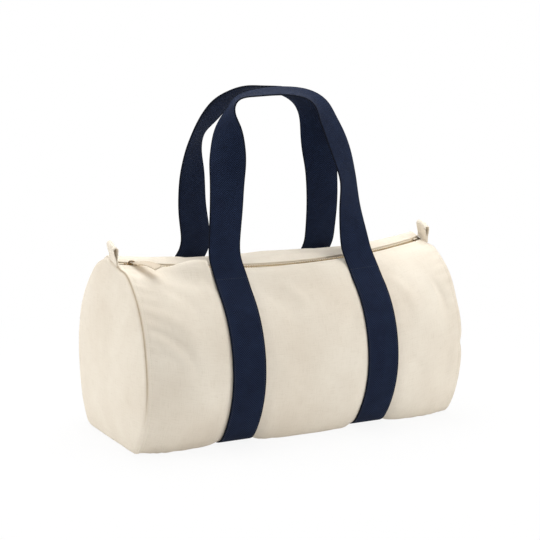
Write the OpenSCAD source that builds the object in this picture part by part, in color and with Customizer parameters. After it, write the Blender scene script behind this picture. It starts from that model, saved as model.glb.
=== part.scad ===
// Canvas barrel bag with webbing carry handles and a curved top zip.
// X runs along the bag, -Y is the front, +Z is up, and the floor is at Z = 0.

/* [Body] */
// Length between the two end seams
bag_len = 500; // [420:5:600]
// Half width of the bag at the end seams
end_half_w = 118; // [105:1:135]
// Extra half width of the full middle
mid_bulge = 11; // [4:0.5:16]
// Height of the top at the end seams
end_crest = 251; // [220:1:280]
// How much lower the soft top lies in the middle
crest_sag = 7.5; // [2:0.5:14]
// Depth below the floor of the round shape that the floor cuts flat
keel_depth = 42; // [30:1:55]
// Thickness of the canvas
canvas_t = 1.2; // [0.8:0.1:1.8]
// How far the end panels bulge outward
end_dome = 10; // [4:0.5:18]

/* [Webbing] */
// Width of the webbing
webbing_w = 50; // [38:1:55]
// Thickness of the webbing
webbing_t = 2.2; // [1.6:0.1:3]
// Distance of each band from the middle of the bag
band_x = 106; // [90:1:130]
// Distance from the middle line at which a handle leaves the bag
hinge_y = 56.5; // [48:0.5:66]
// Height of the top of the handles above the floor
handle_top = 473; // [420:1:540]
// How far the handles lean in toward each other
handle_lean = 30; // [20:0.5:30]
// Drop of the outer edge of a handle at its top
handle_tilt_share = 0.1; // [0:0.02:0.3]

/* [Zip] */
// Radius of the curve in which the closed zip lies
zip_r = 740; // [660:5:900]
// Place along the bag where the zip lies furthest forward
zip_mid_x = -12; // [-30:1:30]
// Distance of the zip in front of the middle line at that place
zip_front_y = 48; // [40:0.5:54]
// Height of the zip at that place
zip_mid_z = 233.5; // [228:0.5:238]
// Forward slope of the zip in degrees
zip_tilt = 17; // [14:0.5:22]
// Width of each tape
tape_w = 12; // [10:0.5:15]
// Thickness of the tapes
tape_t = 0.6; // [0.4:0.05:0.8]
// Distance between neighbouring teeth on one tape
tooth_pitch = 3.8; // [3:0.1:4.4]
// Thickness of a tooth along the zip
tooth_t = 1.1; // [0.8:0.05:1.3]
// Height of a tooth
tooth_h = 2.4; // [2:0.1:2.6]
// Distance of the middle of the slider from the left end seam
slider_inset = 22; // [20:0.5:40]

/* [Tabs] */
// Width of each tab
tab_w = 25; // [18:1:34]
// Height of each tab above its seam
tab_h = 26; // [20:1:34]
// Depth of the loop of each tab
tab_d = 9.5; // [8.5:0.5:12]

/* [Seams and clearances] */
// Depth of the bound seam allowance inside each end
binding_depth = 9; // [6:0.5:12]
// Thickness of the bound seam allowance
binding_t = 2.4; // [1.6:0.1:3.2]
// Gap between a piece and what it is sewn to
seat_gap = 0.4; // [0.3:0.05:0.5]
// Running gap round the slider and the hinged pieces
run_gap = 0.35; // [0.3:0.05:0.5]

/* [Hidden] */
canvas_c = [0.91, 0.87, 0.79];
webbing_c = [0.1, 0.14, 0.23];
brass_c = [0.36, 0.28, 0.17];
tape_c = [0.86, 0.81, 0.71];
binding_c = [0.88, 0.84, 0.76];
overrun = 1;
half_len = bag_len / 2;

// The crown of the bag falls toward the middle, and its sides swell.
fullness_power = 3;
function fullness(x) = 1 - pow(min(abs(x) / half_len, 1), fullness_power);
function half_width(x) = end_half_w + mid_bulge * fullness(x);
function crest(x) = end_crest - crest_sag * fullness(x);
function mid_height(x) = (crest(x) - keel_depth) / 2;
function half_height(x) = (crest(x) + keel_depth) / 2;

// Each band lies in a shallow groove in the floor of the bag.
groove_rise = webbing_t + seat_gap + 0.3 * canvas_t;
groove_flat = webbing_w / 2 + canvas_t;
groove_fade = webbing_w / 2;
function smooth(t) = let (c = max(0, min(1, t))) c * c * (3 - 2 * c);
function floor_rise(x) =
    groove_rise * (1 - smooth((abs(abs(x) - band_x) - groove_flat) / groove_fade));

// The zip lies on an arc in one sloping plane.
lip_gap = 6.8;
lip_lift = tape_t / 2 + seat_gap + canvas_t;
lip_w = lip_gap + tape_w - 1.5 * canvas_t;
lip_fade = 2.2 * tape_w;
function arc_drop(x, r) = zip_r - sqrt(r * r - (x - zip_mid_x) * (x - zip_mid_x));
function zip_y(x, r) = -zip_front_y + arc_drop(x, r) * cos(zip_tilt);
function plane_z(y, lift) = zip_mid_z + (y + zip_front_y) * tan(zip_tilt) + lift / cos(zip_tilt);
function lip_share(x, y) =
    1 - smooth((abs(y - zip_y(x, zip_r)) / cos(zip_tilt) - lip_w) / lip_fade);

// One point of the cross section, at an angle from the top toward the front.
function section_point(x, angle, inset) =
    let (
        y = -(half_width(x) - inset) * sin(angle),
        round_z = mid_height(x) + (half_height(x) - inset) * cos(angle),
        flat_z = plane_z(y, lip_lift - inset),
        share = cos(angle) > 0 ? lip_share(x, y) : 0
    )
    [y, max(round_z + share * (flat_z - round_z), floor_rise(x) + inset)];
function angle_at(x, y, inset) = asin(-y / (half_width(x) - inset));
function corner_angle(x, inset) =
    acos((floor_rise(x) + inset - mid_height(x)) / (half_height(x) - inset));
function top_z(x, y, inset) = section_point(x, angle_at(x, y, inset), inset)[1];

// The ring of angles runs from the front lip under the bag to the back lip.
front_steps = 9;
floor_steps = 4;
back_steps = 11;
shoulder_power = 1.25;
function ring_angles(x, inset) =
    let (
        lip_front = angle_at(x, zip_y(x, zip_r + lip_gap), inset),
        fade_front = angle_at(x, zip_y(x, zip_r + lip_w), inset),
        fade_back = 360 + angle_at(x, zip_y(x, zip_r - lip_w), inset),
        lip_back = 360 + angle_at(x, zip_y(x, zip_r - lip_gap), inset),
        corner = corner_angle(x, inset)
    )
    concat(
        [lip_front],
        [for (i = [0:front_steps])
            fade_front + (corner - fade_front) * pow(i / front_steps, shoulder_power)],
        [for (i = [1:floor_steps - 1]) corner + (360 - 2 * corner) * i / floor_steps],
        [for (i = [0:back_steps])
            fade_back - (fade_back - 360 + corner) * pow(1 - i / back_steps, shoulder_power)],
        [lip_back]
    );
function ring(x, inset) = [for (a = ring_angles(x, inset)) section_point(x, a, inset)];
function stand(x, ring2d) = [for (p = ring2d) [x, p[0], p[1]]];

// Faces of a skin with an outer and an inner sheet, open along its first and last rows.
function sheet_faces(rows, cols, base, flip) = [
    for (r = [0:rows - 2], c = [0:cols - 2])
        let (a = base + r * cols + c, b = a + 1, d = a + cols, e = d + 1)
        each flip ? [[a, d, b], [b, d, e]] : [[a, b, d], [b, e, d]]
];
function edge_faces(loop, shift) = [
    for (i = [0:len(loop) - 1])
        let (a = loop[i], b = loop[(i + 1) % len(loop)])
        each [[a, b, a + shift], [b, b + shift, a + shift]]
];
function border(rows, cols) = concat(
    [for (c = [0:cols - 2]) c],
    [for (r = [0:rows - 2]) r * cols + cols - 1],
    [for (c = [cols - 1:-1:1]) (rows - 1) * cols + c],
    [for (r = [rows - 1:-1:1]) r * cols]
);
module skin(outer_rows, inner_rows) {
    rows = len(outer_rows);
    cols = len(outer_rows[0]);
    points = concat([for (row = outer_rows) each row], [for (row = inner_rows) each row]);
    polyhedron(points, concat(
        sheet_faces(rows, cols, 0, true),
        sheet_faces(rows, cols, rows * cols, false),
        edge_faces(border(rows, cols), rows * cols)
    ), convexity = 10);
}

// Stations along the bag: close together where a band crosses.
half_stations = [
    0, band_x / 4, band_x / 2, band_x - webbing_w / 2 - groove_fade / 2, band_x - webbing_w / 2,
    band_x, band_x + webbing_w / 2, band_x + webbing_w / 2 + groove_fade / 2,
    (band_x + webbing_w + half_len) / 2, half_len - bag_len / 20, half_len - bag_len / 60, half_len
];
last_station = len(half_stations) - 1;
stations = concat(
    [for (i = [last_station:-1:1]) -half_stations[i]],
    half_stations
);

module body_panel() {
    color(canvas_c)
    skin(
        [for (x = stations) stand(x, ring(x, 0))],
        [for (x = stations) stand(x, ring(x, canvas_t))]
    );
}

// An end panel is a flat seam rim round a cushion of cloth that bulges outward.
dome_shares = [1, 0.965, 0.82, 0.6, 0.32];
dome_power = 2.4;
function dome_rise(share) =
    share >= dome_shares[1] ? 0 : end_dome * (1 - pow(share / dome_shares[1], dome_power));
function dome_ring(x, share, out) =
    let (middle = [0, mid_height(half_len)])
    [for (p = ring(x, 0)) [
        sign(x) * (half_len + dome_rise(share) + out),
        middle[0] + (p[0] - middle[0]) * share,
        middle[1] + (p[1] - middle[1]) * share
    ]];
function closed_faces(rows, cols, base, flip) = [
    for (r = [0:rows - 2], c = [0:cols - 1])
        let (n = (c + 1) % cols, a = base + r * cols + c, b = base + r * cols + n, d = a + cols, e = b + cols)
        each flip ? [[a, d, b], [b, d, e]] : [[a, b, d], [b, e, d]]
];
module end_panel(x) {
    rows = len(dome_shares);
    outer = [for (s = dome_shares) each dome_ring(x, s, canvas_t)];
    inner = [for (s = dome_shares) each dome_ring(x, s, 0)];
    cols = len(outer) / rows;
    sheet = rows * cols;
    tips = [
        [x + sign(x) * (end_dome + canvas_t), 0, mid_height(half_len)],
        [x + sign(x) * end_dome, 0, mid_height(half_len)]
    ];
    flip = x > 0;
    rim = [for (c = [0:cols - 1]) flip ? c : cols - 1 - c];
    polyhedron(concat(outer, inner, tips), concat(
        closed_faces(rows, cols, 0, flip),
        closed_faces(rows, cols, sheet, !flip),
        [for (i = [0:cols - 1]) let (n = (i + 1) % cols, a = sheet - cols + i, b = sheet - cols + n)
            flip ? [a, 2 * sheet, b] : [a, b, 2 * sheet]],
        [for (i = [0:cols - 1]) let (n = (i + 1) % cols, a = 2 * sheet - cols + i, b = 2 * sheet - cols + n)
            flip ? [a, b, 2 * sheet + 1] : [a, 2 * sheet + 1, b]],
        edge_faces(rim, sheet)
    ), convexity = 6);
}
module end_panel_left() {
    color(canvas_c)
    end_panel(-half_len);
}
module end_panel_right() {
    color(canvas_c)
    end_panel(half_len);
}

// The seam allowances stand inward behind each end panel, bound in a folded tape.
module seam_binding(x) {
    outline = ring(x, canvas_t + 2 * seat_gap);
    inner = ring(x, canvas_t + 2 * seat_gap + binding_depth);
    slab_x = x - sign(x) * (seat_gap + binding_t / 2);
    translate([slab_x - binding_t / 2, 0, 0])
    rotate([90, 0, 90])
    linear_extrude(binding_t)
    difference() {
        polygon(outline);
        polygon(inner);
    }
}
module seam_binding_left() {
    color(binding_c)
    seam_binding(-half_len);
}
module seam_binding_right() {
    color(binding_c)
    seam_binding(half_len);
}

// Places its children in the frame of the zip: X along it, Y back across it, Z out of the bag.
module in_zip_plane() {
    translate([zip_mid_x, -zip_front_y, zip_mid_z])
    rotate([zip_tilt, 0, 0])
    children();
}
module on_zip(angle) {
    in_zip_plane()
    translate([0, zip_r, 0])
    rotate([0, 0, angle])
    translate([0, -zip_r, 0])
    children();
}
function zip_angle(x) = asin((x - zip_mid_x) / zip_r);
tape_end = half_len - seat_gap - binding_t - seat_gap;
tape_left = zip_angle(-half_len);
tape_right = zip_angle(half_len);
arc_fn = 360;

// The inner edge of each tape runs into the slots of the teeth.
head_reach = 1;
tooth_reach = 3.4;
slot_depth = 2;
slot_gap = 0.1;
tape_edge = tooth_reach - slot_depth + slot_gap;
module tape(side) {
    inner_r = side < 0 ? zip_r + tape_edge : zip_r - tape_edge - tape_w;
    intersection() {
        in_zip_plane()
        translate([0, zip_r, 0])
        rotate([0, 0, 270 + tape_left])
        rotate_extrude(angle = tape_right - tape_left, $fn = arc_fn)
        translate([inner_r, -tape_t / 2])
        square([tape_w, tape_t]);
        cube([2 * tape_end, bag_len, 2 * bag_len], center = true);
    }
}
module zip_tape_front() {
    color(tape_c)
    tape(-1);
}
module zip_tape_back() {
    color(tape_c)
    tape(1);
}

// A tooth clamps the tape and reaches past the middle line between two teeth of the other side.
tooth_profile = [
    [-head_reach, -0.36 * tooth_h], [-head_reach, 0.36 * tooth_h], [tooth_reach, tooth_h / 2],
    [tooth_reach, tape_t / 2 + slot_gap], [tooth_reach - slot_depth, tape_t / 2 + slot_gap],
    [tooth_reach - slot_depth, -tape_t / 2 - slot_gap], [tooth_reach, -tape_t / 2 - slot_gap],
    [tooth_reach, -tooth_h / 2]
];
stop_len = 2.6;
chain_end = tape_end - 2 * stop_len - 2 * tooth_pitch;
first_tooth = zip_angle(-chain_end);
pitch_angle = tooth_pitch / zip_r * 180 / PI;
tooth_count = floor((zip_angle(chain_end) - first_tooth) / pitch_angle);
module tooth(side) {
    mirror([0, side < 0 ? 1 : 0, 0])
    rotate([90, 0, 90])
    translate([0, 0, -tooth_t / 2])
    linear_extrude(tooth_t)
    polygon(tooth_profile);
}
module teeth(side) {
    shift = side < 0 ? 0 : pitch_angle / 2;
    for (i = [0:tooth_count - 1])
        on_zip(first_tooth + i * pitch_angle + shift)
        tooth(side);
}
module zip_teeth_front() {
    color(brass_c)
    teeth(-1);
}
module zip_teeth_back() {
    color(brass_c)
    teeth(1);
}

// A stop is a small clip with a slot for the tape.
stop_h = tooth_h;
module stop_clip(side) {
    translate([-stop_len / 2, side < 0 ? -tooth_reach : head_reach / 2, -stop_h / 2])
    difference() {
        cube([stop_len, tooth_reach - head_reach / 2, stop_h]);
        translate([-overrun, side < 0 ? -overrun : tape_edge - head_reach / 2 - slot_gap,
            stop_h / 2 - tape_t / 2 - slot_gap])
        cube([stop_len + 2 * overrun, tooth_reach - tape_edge + slot_gap + overrun,
            tape_t + 2 * slot_gap]);
    }
}
top_stop_angle = first_tooth - (tooth_t / 2 + stop_len / 2 + tape_t) / zip_r * 180 / PI;
module zip_top_stops() {
    color(brass_c)
    on_zip(top_stop_angle)
    for (side = [-1, 1])
        stop_clip(side);
}
bottom_stop_angle = first_tooth + tooth_count * pitch_angle
    + (tooth_t / 2 + stop_len / 2 + tape_t) / zip_r * 180 / PI;
module zip_bottom_stop() {
    color(brass_c)
    on_zip(bottom_stop_angle) {
        for (side = [-1, 1])
            stop_clip(side);
        translate([-stop_len / 2, -head_reach, -stop_h / 2])
        cube([stop_len, 2 * head_reach, stop_h]);
    }
}

// The slider has two plates round the chain, flanges beside it and a crown for the pull.
slider_angle = zip_angle(-half_len + slider_inset);
plate_len = 13;
nose_w = 10.4;
tail_w = 9.4;
plate_t = 1;
plate_z = tooth_h / 2 + run_gap;
flange_gap = tooth_reach + run_gap;
flange_z = tape_t / 2 + run_gap;
crown_len = 9.4;
crown_w = 2.2;
crown_t = 1.3;
window_h = 2.8;
foot_len = 1.3;
cheek_share = 0.36;
waist_share = 0.1;
plate_outline = [
    [-plate_len / 2, -nose_w / 4], [-cheek_share * plate_len, -nose_w / 2],
    [-waist_share * plate_len, -nose_w / 2], [plate_len / 2, -tail_w / 2],
    [plate_len / 2, tail_w / 2], [-waist_share * plate_len, nose_w / 2],
    [-cheek_share * plate_len, nose_w / 2], [-plate_len / 2, nose_w / 4]
];
module slider_plate() {
    translate([0, 0, plate_z])
    linear_extrude(plate_t)
    polygon(plate_outline);
    translate([0, 0, flange_z])
    linear_extrude(plate_z - flange_z + plate_t / 2)
    difference() {
        polygon(plate_outline);
        square([plate_len + 2 * overrun, 2 * flange_gap], center = true);
    }
}
module crown() {
    translate([0, crown_w / 2, plate_z + plate_t])
    rotate([90, 0, 0])
    linear_extrude(crown_w)
    difference() {
        polygon([
            [-crown_len / 2, 0], [-crown_len / 2, window_h], [-crown_len / 2 + crown_t, window_h + crown_t],
            [crown_len / 2 - crown_t, window_h + crown_t], [crown_len / 2, window_h], [crown_len / 2, 0]
        ]);
        translate([-crown_len / 2 + foot_len, -overrun])
        square([crown_len - 2 * foot_len, window_h + overrun]);
    }
}
module zip_slider() {
    color(brass_c)
    on_zip(slider_angle) {
        slider_plate();
        crown();
        mirror([0, 0, 1])
        slider_plate();
    }
}

// A link of square wire hangs in the crown and lies over the front lip.
// It is short enough to pass the feet of the front handle.
wire_t = 1.4;
wire_r = wire_t * sqrt(2) / 2;
link_turn = -50;
link_half_w = 5.2;
link_len = 6.3;
link_rise = 1.9;
link_corner_r = 0.9;
link_z = plate_z + plate_t + run_gap + wire_r;
module on_link() {
    on_zip(slider_angle)
    translate([0, 0, link_z])
    rotate([0, 0, link_turn])
    rotate([0, -asin(link_rise / link_len), 0])
    children();
}
module link_outline(grow) {
    hull()
    for (x = [link_corner_r, link_len - link_corner_r], side = [-1, 1])
        translate([x, side * link_half_w])
        circle(r = link_corner_r + grow, $fn = 16);
}
module zip_pull_link() {
    color(brass_c)
    on_link() {
        translate([0, 0, -wire_t / 2])
        linear_extrude(wire_t)
        difference() {
            link_outline(wire_t / 2);
            link_outline(-wire_t / 2);
        }
        rotate([90, 0, 0])
        cylinder(h = 2 * link_half_w, r = wire_r, center = true, $fn = 32);
    }
}

// A strip of folded canvas is looped round the far bar of the link and lies on the shoulder.
// It is gathered to a narrow neck where it passes through the link.
strip_w = 14;
strip_t = 1.6;
strip_flat = 6.5;
strip_drop = 11;
strip_bend_r = 230;
strip_bend = 9.5;
strip_hole_r = wire_r + run_gap;
strip_loop_r = strip_hole_r + strip_t / 2;
neck_half_w = link_half_w + link_corner_r - wire_t / 2 - seat_gap;
neck_len = 4;
strip_reach = strip_loop_r + strip_flat + strip_bend_r;
strip_plan = [
    [-strip_loop_r, -neck_half_w], [neck_len, -neck_half_w], [2 * neck_len, -strip_w / 2],
    [strip_reach, -strip_w / 2], [strip_reach, strip_w / 2], [2 * neck_len, strip_w / 2],
    [neck_len, neck_half_w], [-strip_loop_r, neck_half_w]
];
module strip_side() {
    linear_extrude(strip_w, center = true)
    difference() {
        union() {
            circle(r = strip_loop_r, $fn = 32);
            translate([0, -strip_t / 2])
            square([strip_loop_r + strip_flat + strip_t / 2, strip_t]);
        }
        circle(r = strip_hole_r, $fn = 32);
    }
    translate([strip_loop_r + strip_flat, -strip_bend_r, -strip_w / 2])
    rotate([0, 0, 90 - strip_bend])
    rotate_extrude(angle = strip_bend, $fn = arc_fn)
    translate([strip_bend_r - strip_t / 2, 0])
    square([strip_t, strip_w]);
}
module pull_strip() {
    color(canvas_c)
    on_link()
    translate([link_len, 0, 0])
    rotate([90, 0, 0])
    rotate([0, 0, -strip_drop])
    intersection() {
        strip_side();
        rotate([90, 0, 0])
        linear_extrude(2 * strip_w, center = true)
        polygon(strip_plan);
    }
}

// A band runs under the bag from the foot of one handle to the foot of the other.
root_r = 1.4;
hinge_slope_share = 0.8;
foot_lift = (seat_gap + root_r) / hinge_slope_share;
back_settle = seat_gap;
function hinge_z(y) =
    foot_lift - (y > 0 ? back_settle : 0) + max([for (s = [-1, 1], e = [-1, 0, 1]) top_z(s * band_x + e * webbing_w / 2, y, 0)]);
band_start_y = hinge_y + 2 * root_r + run_gap;
band_end_t = 0.6;
band_end_lift = seat_gap + band_end_t / 6;
front_skip = 2;
back_skip = 5;
function band_row(x, inner, end_t, full_t) =
    let (
        angles = ring_angles(x, 0),
        thick = inner ? 0 : 1,
        tip_front = angle_at(x, -band_start_y, 0),
        tip_back = 360 + angle_at(x, band_start_y, 0)
    )
    concat(
        [section_point(x, tip_front, -band_end_lift - thick * end_t)],
        [for (i = [front_skip:len(angles) - back_skip - 1])
            section_point(x, angles[i], -seat_gap - thick * full_t)],
        [section_point(x, tip_back, -band_end_lift - thick * end_t)]
    );
module band(x) {
    rows = [x - webbing_w / 2, x, x + webbing_w / 2];
    skin(
        [for (r = rows) stand(r, band_row(r, false, band_end_t, webbing_t))],
        [for (r = rows) stand(r, band_row(r, true, band_end_t, webbing_t))]
    );
}
module band_left() {
    color(webbing_c)
    band(-band_x);
}
module band_right() {
    color(webbing_c)
    band(band_x);
}

// Route of a handle in shares: along the bag, leaning in, rising, and its turn in degrees.
front_route_shares = [
    [-1, 0, 0, 0], [-0.99, 0.16, 0.17, 0], [-0.945, 0.38, 0.36, -2], [-0.905, 0.56, 0.52, -8],
    [-0.88, 0.75, 0.67, -32], [-0.86, 0.88, 0.78, -66], [-0.825, 0.96, 0.875, -97],
    [-0.71, 1, 0.955, -110], [-0.43, 1, 0.99, -100], [0, 1, 0.99, -90], [0.3, 1, 0.97, -92],
    [0.54, 1, 0.92, -106], [0.68, 0.96, 0.835, -128], [0.79, 0.86, 0.73, -146],
    [0.88, 0.74, 0.6, -150], [0.92, 0.56, 0.45, -147], [0.93, 0.34, 0.28, -154],
    [0.96, 0.14, 0.12, -172], [1, 0, 0, -180]
];
back_route_shares = [
    [-1, 0, 0, 0], [-1, 0.14, 0.12, 6], [-1.02, 0.36, 0.31, 14], [-1.055, 0.56, 0.48, 21],
    [-1.055, 0.72, 0.61, 34], [-0.99, 0.86, 0.74, 46], [-0.87, 0.95, 0.85, 62],
    [-0.67, 1, 0.94, 78], [-0.38, 1, 0.985, 86], [0, 1, 1, 90], [0.33, 1, 0.985, 96],
    [0.6, 1, 0.94, 118], [0.7, 0.96, 0.86, 154], [0.77, 0.86, 0.76, 172], [0.85, 0.72, 0.64, 178],
    [0.93, 0.56, 0.5, 180], [0.98, 0.34, 0.32, 180], [1, 0.14, 0.14, 180], [1, 0, 0, 180]
];
route_steps = 3;
function curve(a, b, c, d, t) =
    0.5 * (2 * b + (c - a) * t + (2 * a - 5 * b + 4 * c - d) * t * t + (3 * b - a - 3 * c + d) * t * t * t);
function route(shares) =
    let (n = len(shares) - 1)
    concat(
        [for (i = [0:n - 1], k = [0:route_steps - 1])
            let (
                a = i == 0 ? 2 * shares[0] - shares[1] : shares[i - 1],
                d = i == n - 1 ? 2 * shares[n] - shares[n - 1] : shares[i + 2]
            )
            curve(a, shares[i], shares[i + 1], d, k / route_steps)],
        [shares[n]]
    );
function unit(v) = v / norm(v);
function handle_point(s, side) = [
    s[0] * band_x,
    side * (hinge_y - s[1] * handle_lean),
    hinge_z(side * hinge_y) + s[2] * (handle_top - hinge_z(side * hinge_y))
];
module ribbon(shares, side) {
    path = route(shares);
    last = len(path) - 1;
    centres = [for (s = path) handle_point(s, side)];
    corners = [
        for (i = [0:last])
            let (
                step = centres[min(i + 1, last)] - centres[max(i - 1, 0)],
                along = unit(i == 0 || i == last ? [0, step[1], step[2]] : step),
                turn = path[i][3],
                lay = [cos(turn), sin(turn), -handle_tilt_share * abs(sin(turn))],
                across = unit(lay - along * (lay * along)) * webbing_w / 2,
                out = unit(cross(across, along)) * webbing_t / 2
            )
            each [
                centres[i] - across - out, centres[i] + across - out,
                centres[i] + across + out, centres[i] - across + out
            ]
    ];
    polyhedron(corners, concat(
        [[0, 2, 1], [0, 3, 2]],
        [for (i = [0:last - 1], k = [0:3])
            let (a = 4 * i + k, b = 4 * i + (k + 1) % 4)
            each [[a, b, a + 4], [b, b + 4, a + 4]]],
        [[4 * last, 4 * last + 1, 4 * last + 2], [4 * last, 4 * last + 2, 4 * last + 3]]
    ), convexity = 8);
}
module handle(shares, side) {
    ribbon(shares, side);
    for (x = [-band_x, band_x])
        translate([x - webbing_w / 2, side * hinge_y, hinge_z(side * hinge_y)])
        rotate([0, 90, 0])
        cylinder(h = webbing_w, r = root_r, $fn = 32);
}
module handle_front() {
    color(webbing_c)
    handle(front_route_shares, -1);
}
module handle_back() {
    color(webbing_c)
    handle(back_route_shares, 1);
}

// A tab is one loop of folded canvas that stands on the end seam where the zip ends.
tab_y = -9;
tab_root_r = 1.6;
tab_foot_r = 1.3;
tab_wall = 1.3;
function tab_root_z(x) = tab_root_r + seat_gap / hinge_slope_share
    + max([for (e = [-1, 0, 1]) top_z(x, tab_y + e * tab_w / 2, 0) - e * tab_w / 2 * tan(zip_tilt)]);
module tab(x) {
    outer_r = tab_d / 2;
    inner_r = outer_r - tab_wall;
    translate([x, tab_y, tab_root_z(x)])
    rotate([90 + zip_tilt, 0, 0])
    translate([0, 0, -tab_w / 2]) {
        linear_extrude(tab_w)
        difference() {
            hull() {
                circle(r = tab_foot_r, $fn = 24);
                translate([0, tab_h - outer_r])
                circle(r = outer_r, $fn = 32);
            }
            hull() {
                translate([0, tab_h / 4])
                circle(r = tab_root_r / 2, $fn = 24);
                translate([0, tab_h - outer_r])
                circle(r = inner_r, $fn = 32);
            }
        }
        cylinder(h = tab_w, r = tab_root_r, $fn = 24);
    }
}
module tab_left() {
    color(canvas_c)
    tab(-half_len);
}
module tab_right() {
    color(canvas_c)
    tab(half_len);
}

body_panel();
end_panel_left();
end_panel_right();
seam_binding_left();
seam_binding_right();
zip_tape_front();
zip_tape_back();
zip_teeth_front();
zip_teeth_back();
zip_top_stops();
zip_bottom_stop();
zip_slider();
zip_pull_link();
pull_strip();
band_left();
band_right();
handle_front();
handle_back();
tab_left();
tab_right();
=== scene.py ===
# %% [markdown]
# # A canvas barrel bag with webbing handles
# The bag is cloth: one sheet of natural cotton canvas wraps a barrel, two round panels close its ends, and a
# strap of dark blue webbing runs under the bag and up into each handle. The lesson dresses a imported model of it.
# The first cell loads that model as a fixed frame.

# %% Load the imported frame
import math

import bmesh
import bpy
import numpy as np
from mathutils import Matrix, Vector, noise


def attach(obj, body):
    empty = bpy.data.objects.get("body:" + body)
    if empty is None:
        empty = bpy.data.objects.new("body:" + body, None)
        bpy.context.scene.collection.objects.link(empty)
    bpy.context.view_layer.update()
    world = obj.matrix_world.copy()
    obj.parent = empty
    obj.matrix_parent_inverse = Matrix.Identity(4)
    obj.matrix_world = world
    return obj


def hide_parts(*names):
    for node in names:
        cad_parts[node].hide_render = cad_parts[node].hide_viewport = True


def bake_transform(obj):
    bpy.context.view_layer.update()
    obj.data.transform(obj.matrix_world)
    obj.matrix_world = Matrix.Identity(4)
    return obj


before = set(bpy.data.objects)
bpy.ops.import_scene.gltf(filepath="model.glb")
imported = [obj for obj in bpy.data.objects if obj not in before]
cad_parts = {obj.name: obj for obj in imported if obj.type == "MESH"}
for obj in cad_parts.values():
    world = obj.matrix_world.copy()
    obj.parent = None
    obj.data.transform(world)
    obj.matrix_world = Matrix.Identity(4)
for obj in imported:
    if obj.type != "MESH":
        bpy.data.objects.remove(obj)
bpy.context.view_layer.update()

# %% [markdown]
# ## The camera
# A camera is a place, a direction and a lens. Here they are given as an angle round the bag, a height above the
# horizon and a distance, because those are what one reads from a photograph. It could be aimed by hand in the
# viewport, but steps of moves and turns can be repeated and mended one by one. A long lens keeps the barrel's far
# end almost as large as the near one.

# %% Camera
AZIMUTH = math.radians(-29.1)
ELEVATION = math.radians(10.0)
ROLL = math.radians(0.8)
DISTANCE = 2.088
AIM = (-0.006, 0.0, 0.218)
FOCAL_PX = 1467
IMAGE_PX = 540
SENSOR_MM = 36


def new_object(name, data):
    """Puts a new object into the scene, at the origin."""
    obj = bpy.data.objects.new(name, data)
    bpy.context.scene.collection.objects.link(obj)
    return obj


def placed(start, *steps):
    """A place reached from a start step by step. Each step is a move (x, y, z) or a turn ("axis", angle)."""
    place = start
    for step in steps:
        place = place @ (Matrix.Rotation(step[1], 4, step[0]) if len(step) == 2 else Matrix.Translation(step))
    return place


camera = new_object("camera", bpy.data.cameras.new("camera"))
camera.matrix_world = placed(Matrix.Translation(AIM), ("Z", AZIMUTH), ("X", math.pi / 2 - ELEVATION), ("Z", ROLL),
                             (0, 0, DISTANCE))
camera.data.sensor_width = SENSOR_MM
camera.data.lens = FOCAL_PX * SENSOR_MM / IMAGE_PX
bpy.context.scene.camera = camera
print("camera lens", round(camera.data.lens, 1), "mm")

# %% [markdown]
# ## Materials
# Woven cloth has a thread pattern, lumps in the yarn, small colour changes and a soft sheen. All of it comes from
# nodes, because a pattern made by nodes is sharp at any distance and needs no picture. The helpers below keep a
# material short: each adds one node or one usual group of them.

# %% Node helpers


def new_material(name, color, roughness, sheen=0.0, metallic=0.0):
    """Makes a material and returns it with its node tree and its shader node."""
    material = bpy.data.materials.new(name)
    material.use_nodes = True
    shader = material.node_tree.nodes["Principled BSDF"]
    settings = {"Base Color": (*color, 1), "Roughness": roughness, "Metallic": metallic,
                "Sheen Weight": sheen, "Sheen Roughness": 0.5}
    for key, value in settings.items():
        shader.inputs[key].default_value = value
    return material, material.node_tree, shader


def add(tree, kind, inputs=None, **settings):
    """Adds a node, sets its properties, and sets or links its inputs, given by name or by number."""
    node = tree.nodes.new(kind)
    for key, value in settings.items():
        setattr(node, key, value)
    for key, value in (inputs or {}).items():
        if isinstance(value, bpy.types.NodeSocket):
            tree.links.new(value, node.inputs[key])
        else:
            node.inputs[key].default_value = value
    return node


def math_node(tree, operation, first, second=0.0, third=0.0):
    """Adds a Math node and returns its output."""
    return add(tree, "ShaderNodeMath", {0: first, 1: second, 2: third}, operation=operation).outputs[0]


def wave(tree, value, pitch):
    """A sine wave of the value, with one full turn for each pitch."""
    return math_node(tree, "SINE", math_node(tree, "MULTIPLY", value, 2 * math.pi / pitch))


def noise_value(tree, vector, scale, detail, roughness=0.5):
    """Adds a Noise Texture and returns its value."""
    inputs = {"Vector": vector, "Scale": scale, "Detail": detail, "Roughness": roughness}
    return add(tree, "ShaderNodeTexNoise", inputs).outputs["Fac"]


def ramp(tree, value, low, high, low_color, high_color):
    """Adds a two-stop colour ramp and returns its colour output."""
    node = add(tree, "ShaderNodeValToRGB", {"Fac": value})
    for stop, position, color in zip(node.color_ramp.elements, (low, high), (low_color, high_color)):
        stop.position = position
        stop.color = (*color, 1)
    return node.outputs["Color"]


def mix_color(tree, kind, factor, first, second):
    """Mixes two colours and returns the result."""
    return add(tree, "ShaderNodeMix", {0: factor, 6: first, 7: second}, data_type="RGBA", blend_type=kind,
               clamp_factor=True).outputs[2]


def cloth_uv(tree):
    """The cloth's UV map in metres: both coordinates, across and along."""
    uv = add(tree, "ShaderNodeUVMap", uv_map="cloth").outputs["UV"]
    split = add(tree, "ShaderNodeSeparateXYZ", {0: uv})
    return uv, split.outputs["X"], split.outputs["Y"]


def object_place(tree):
    """Coordinates that stay with the object."""
    return add(tree, "ShaderNodeTexCoord").outputs["Object"]


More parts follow.
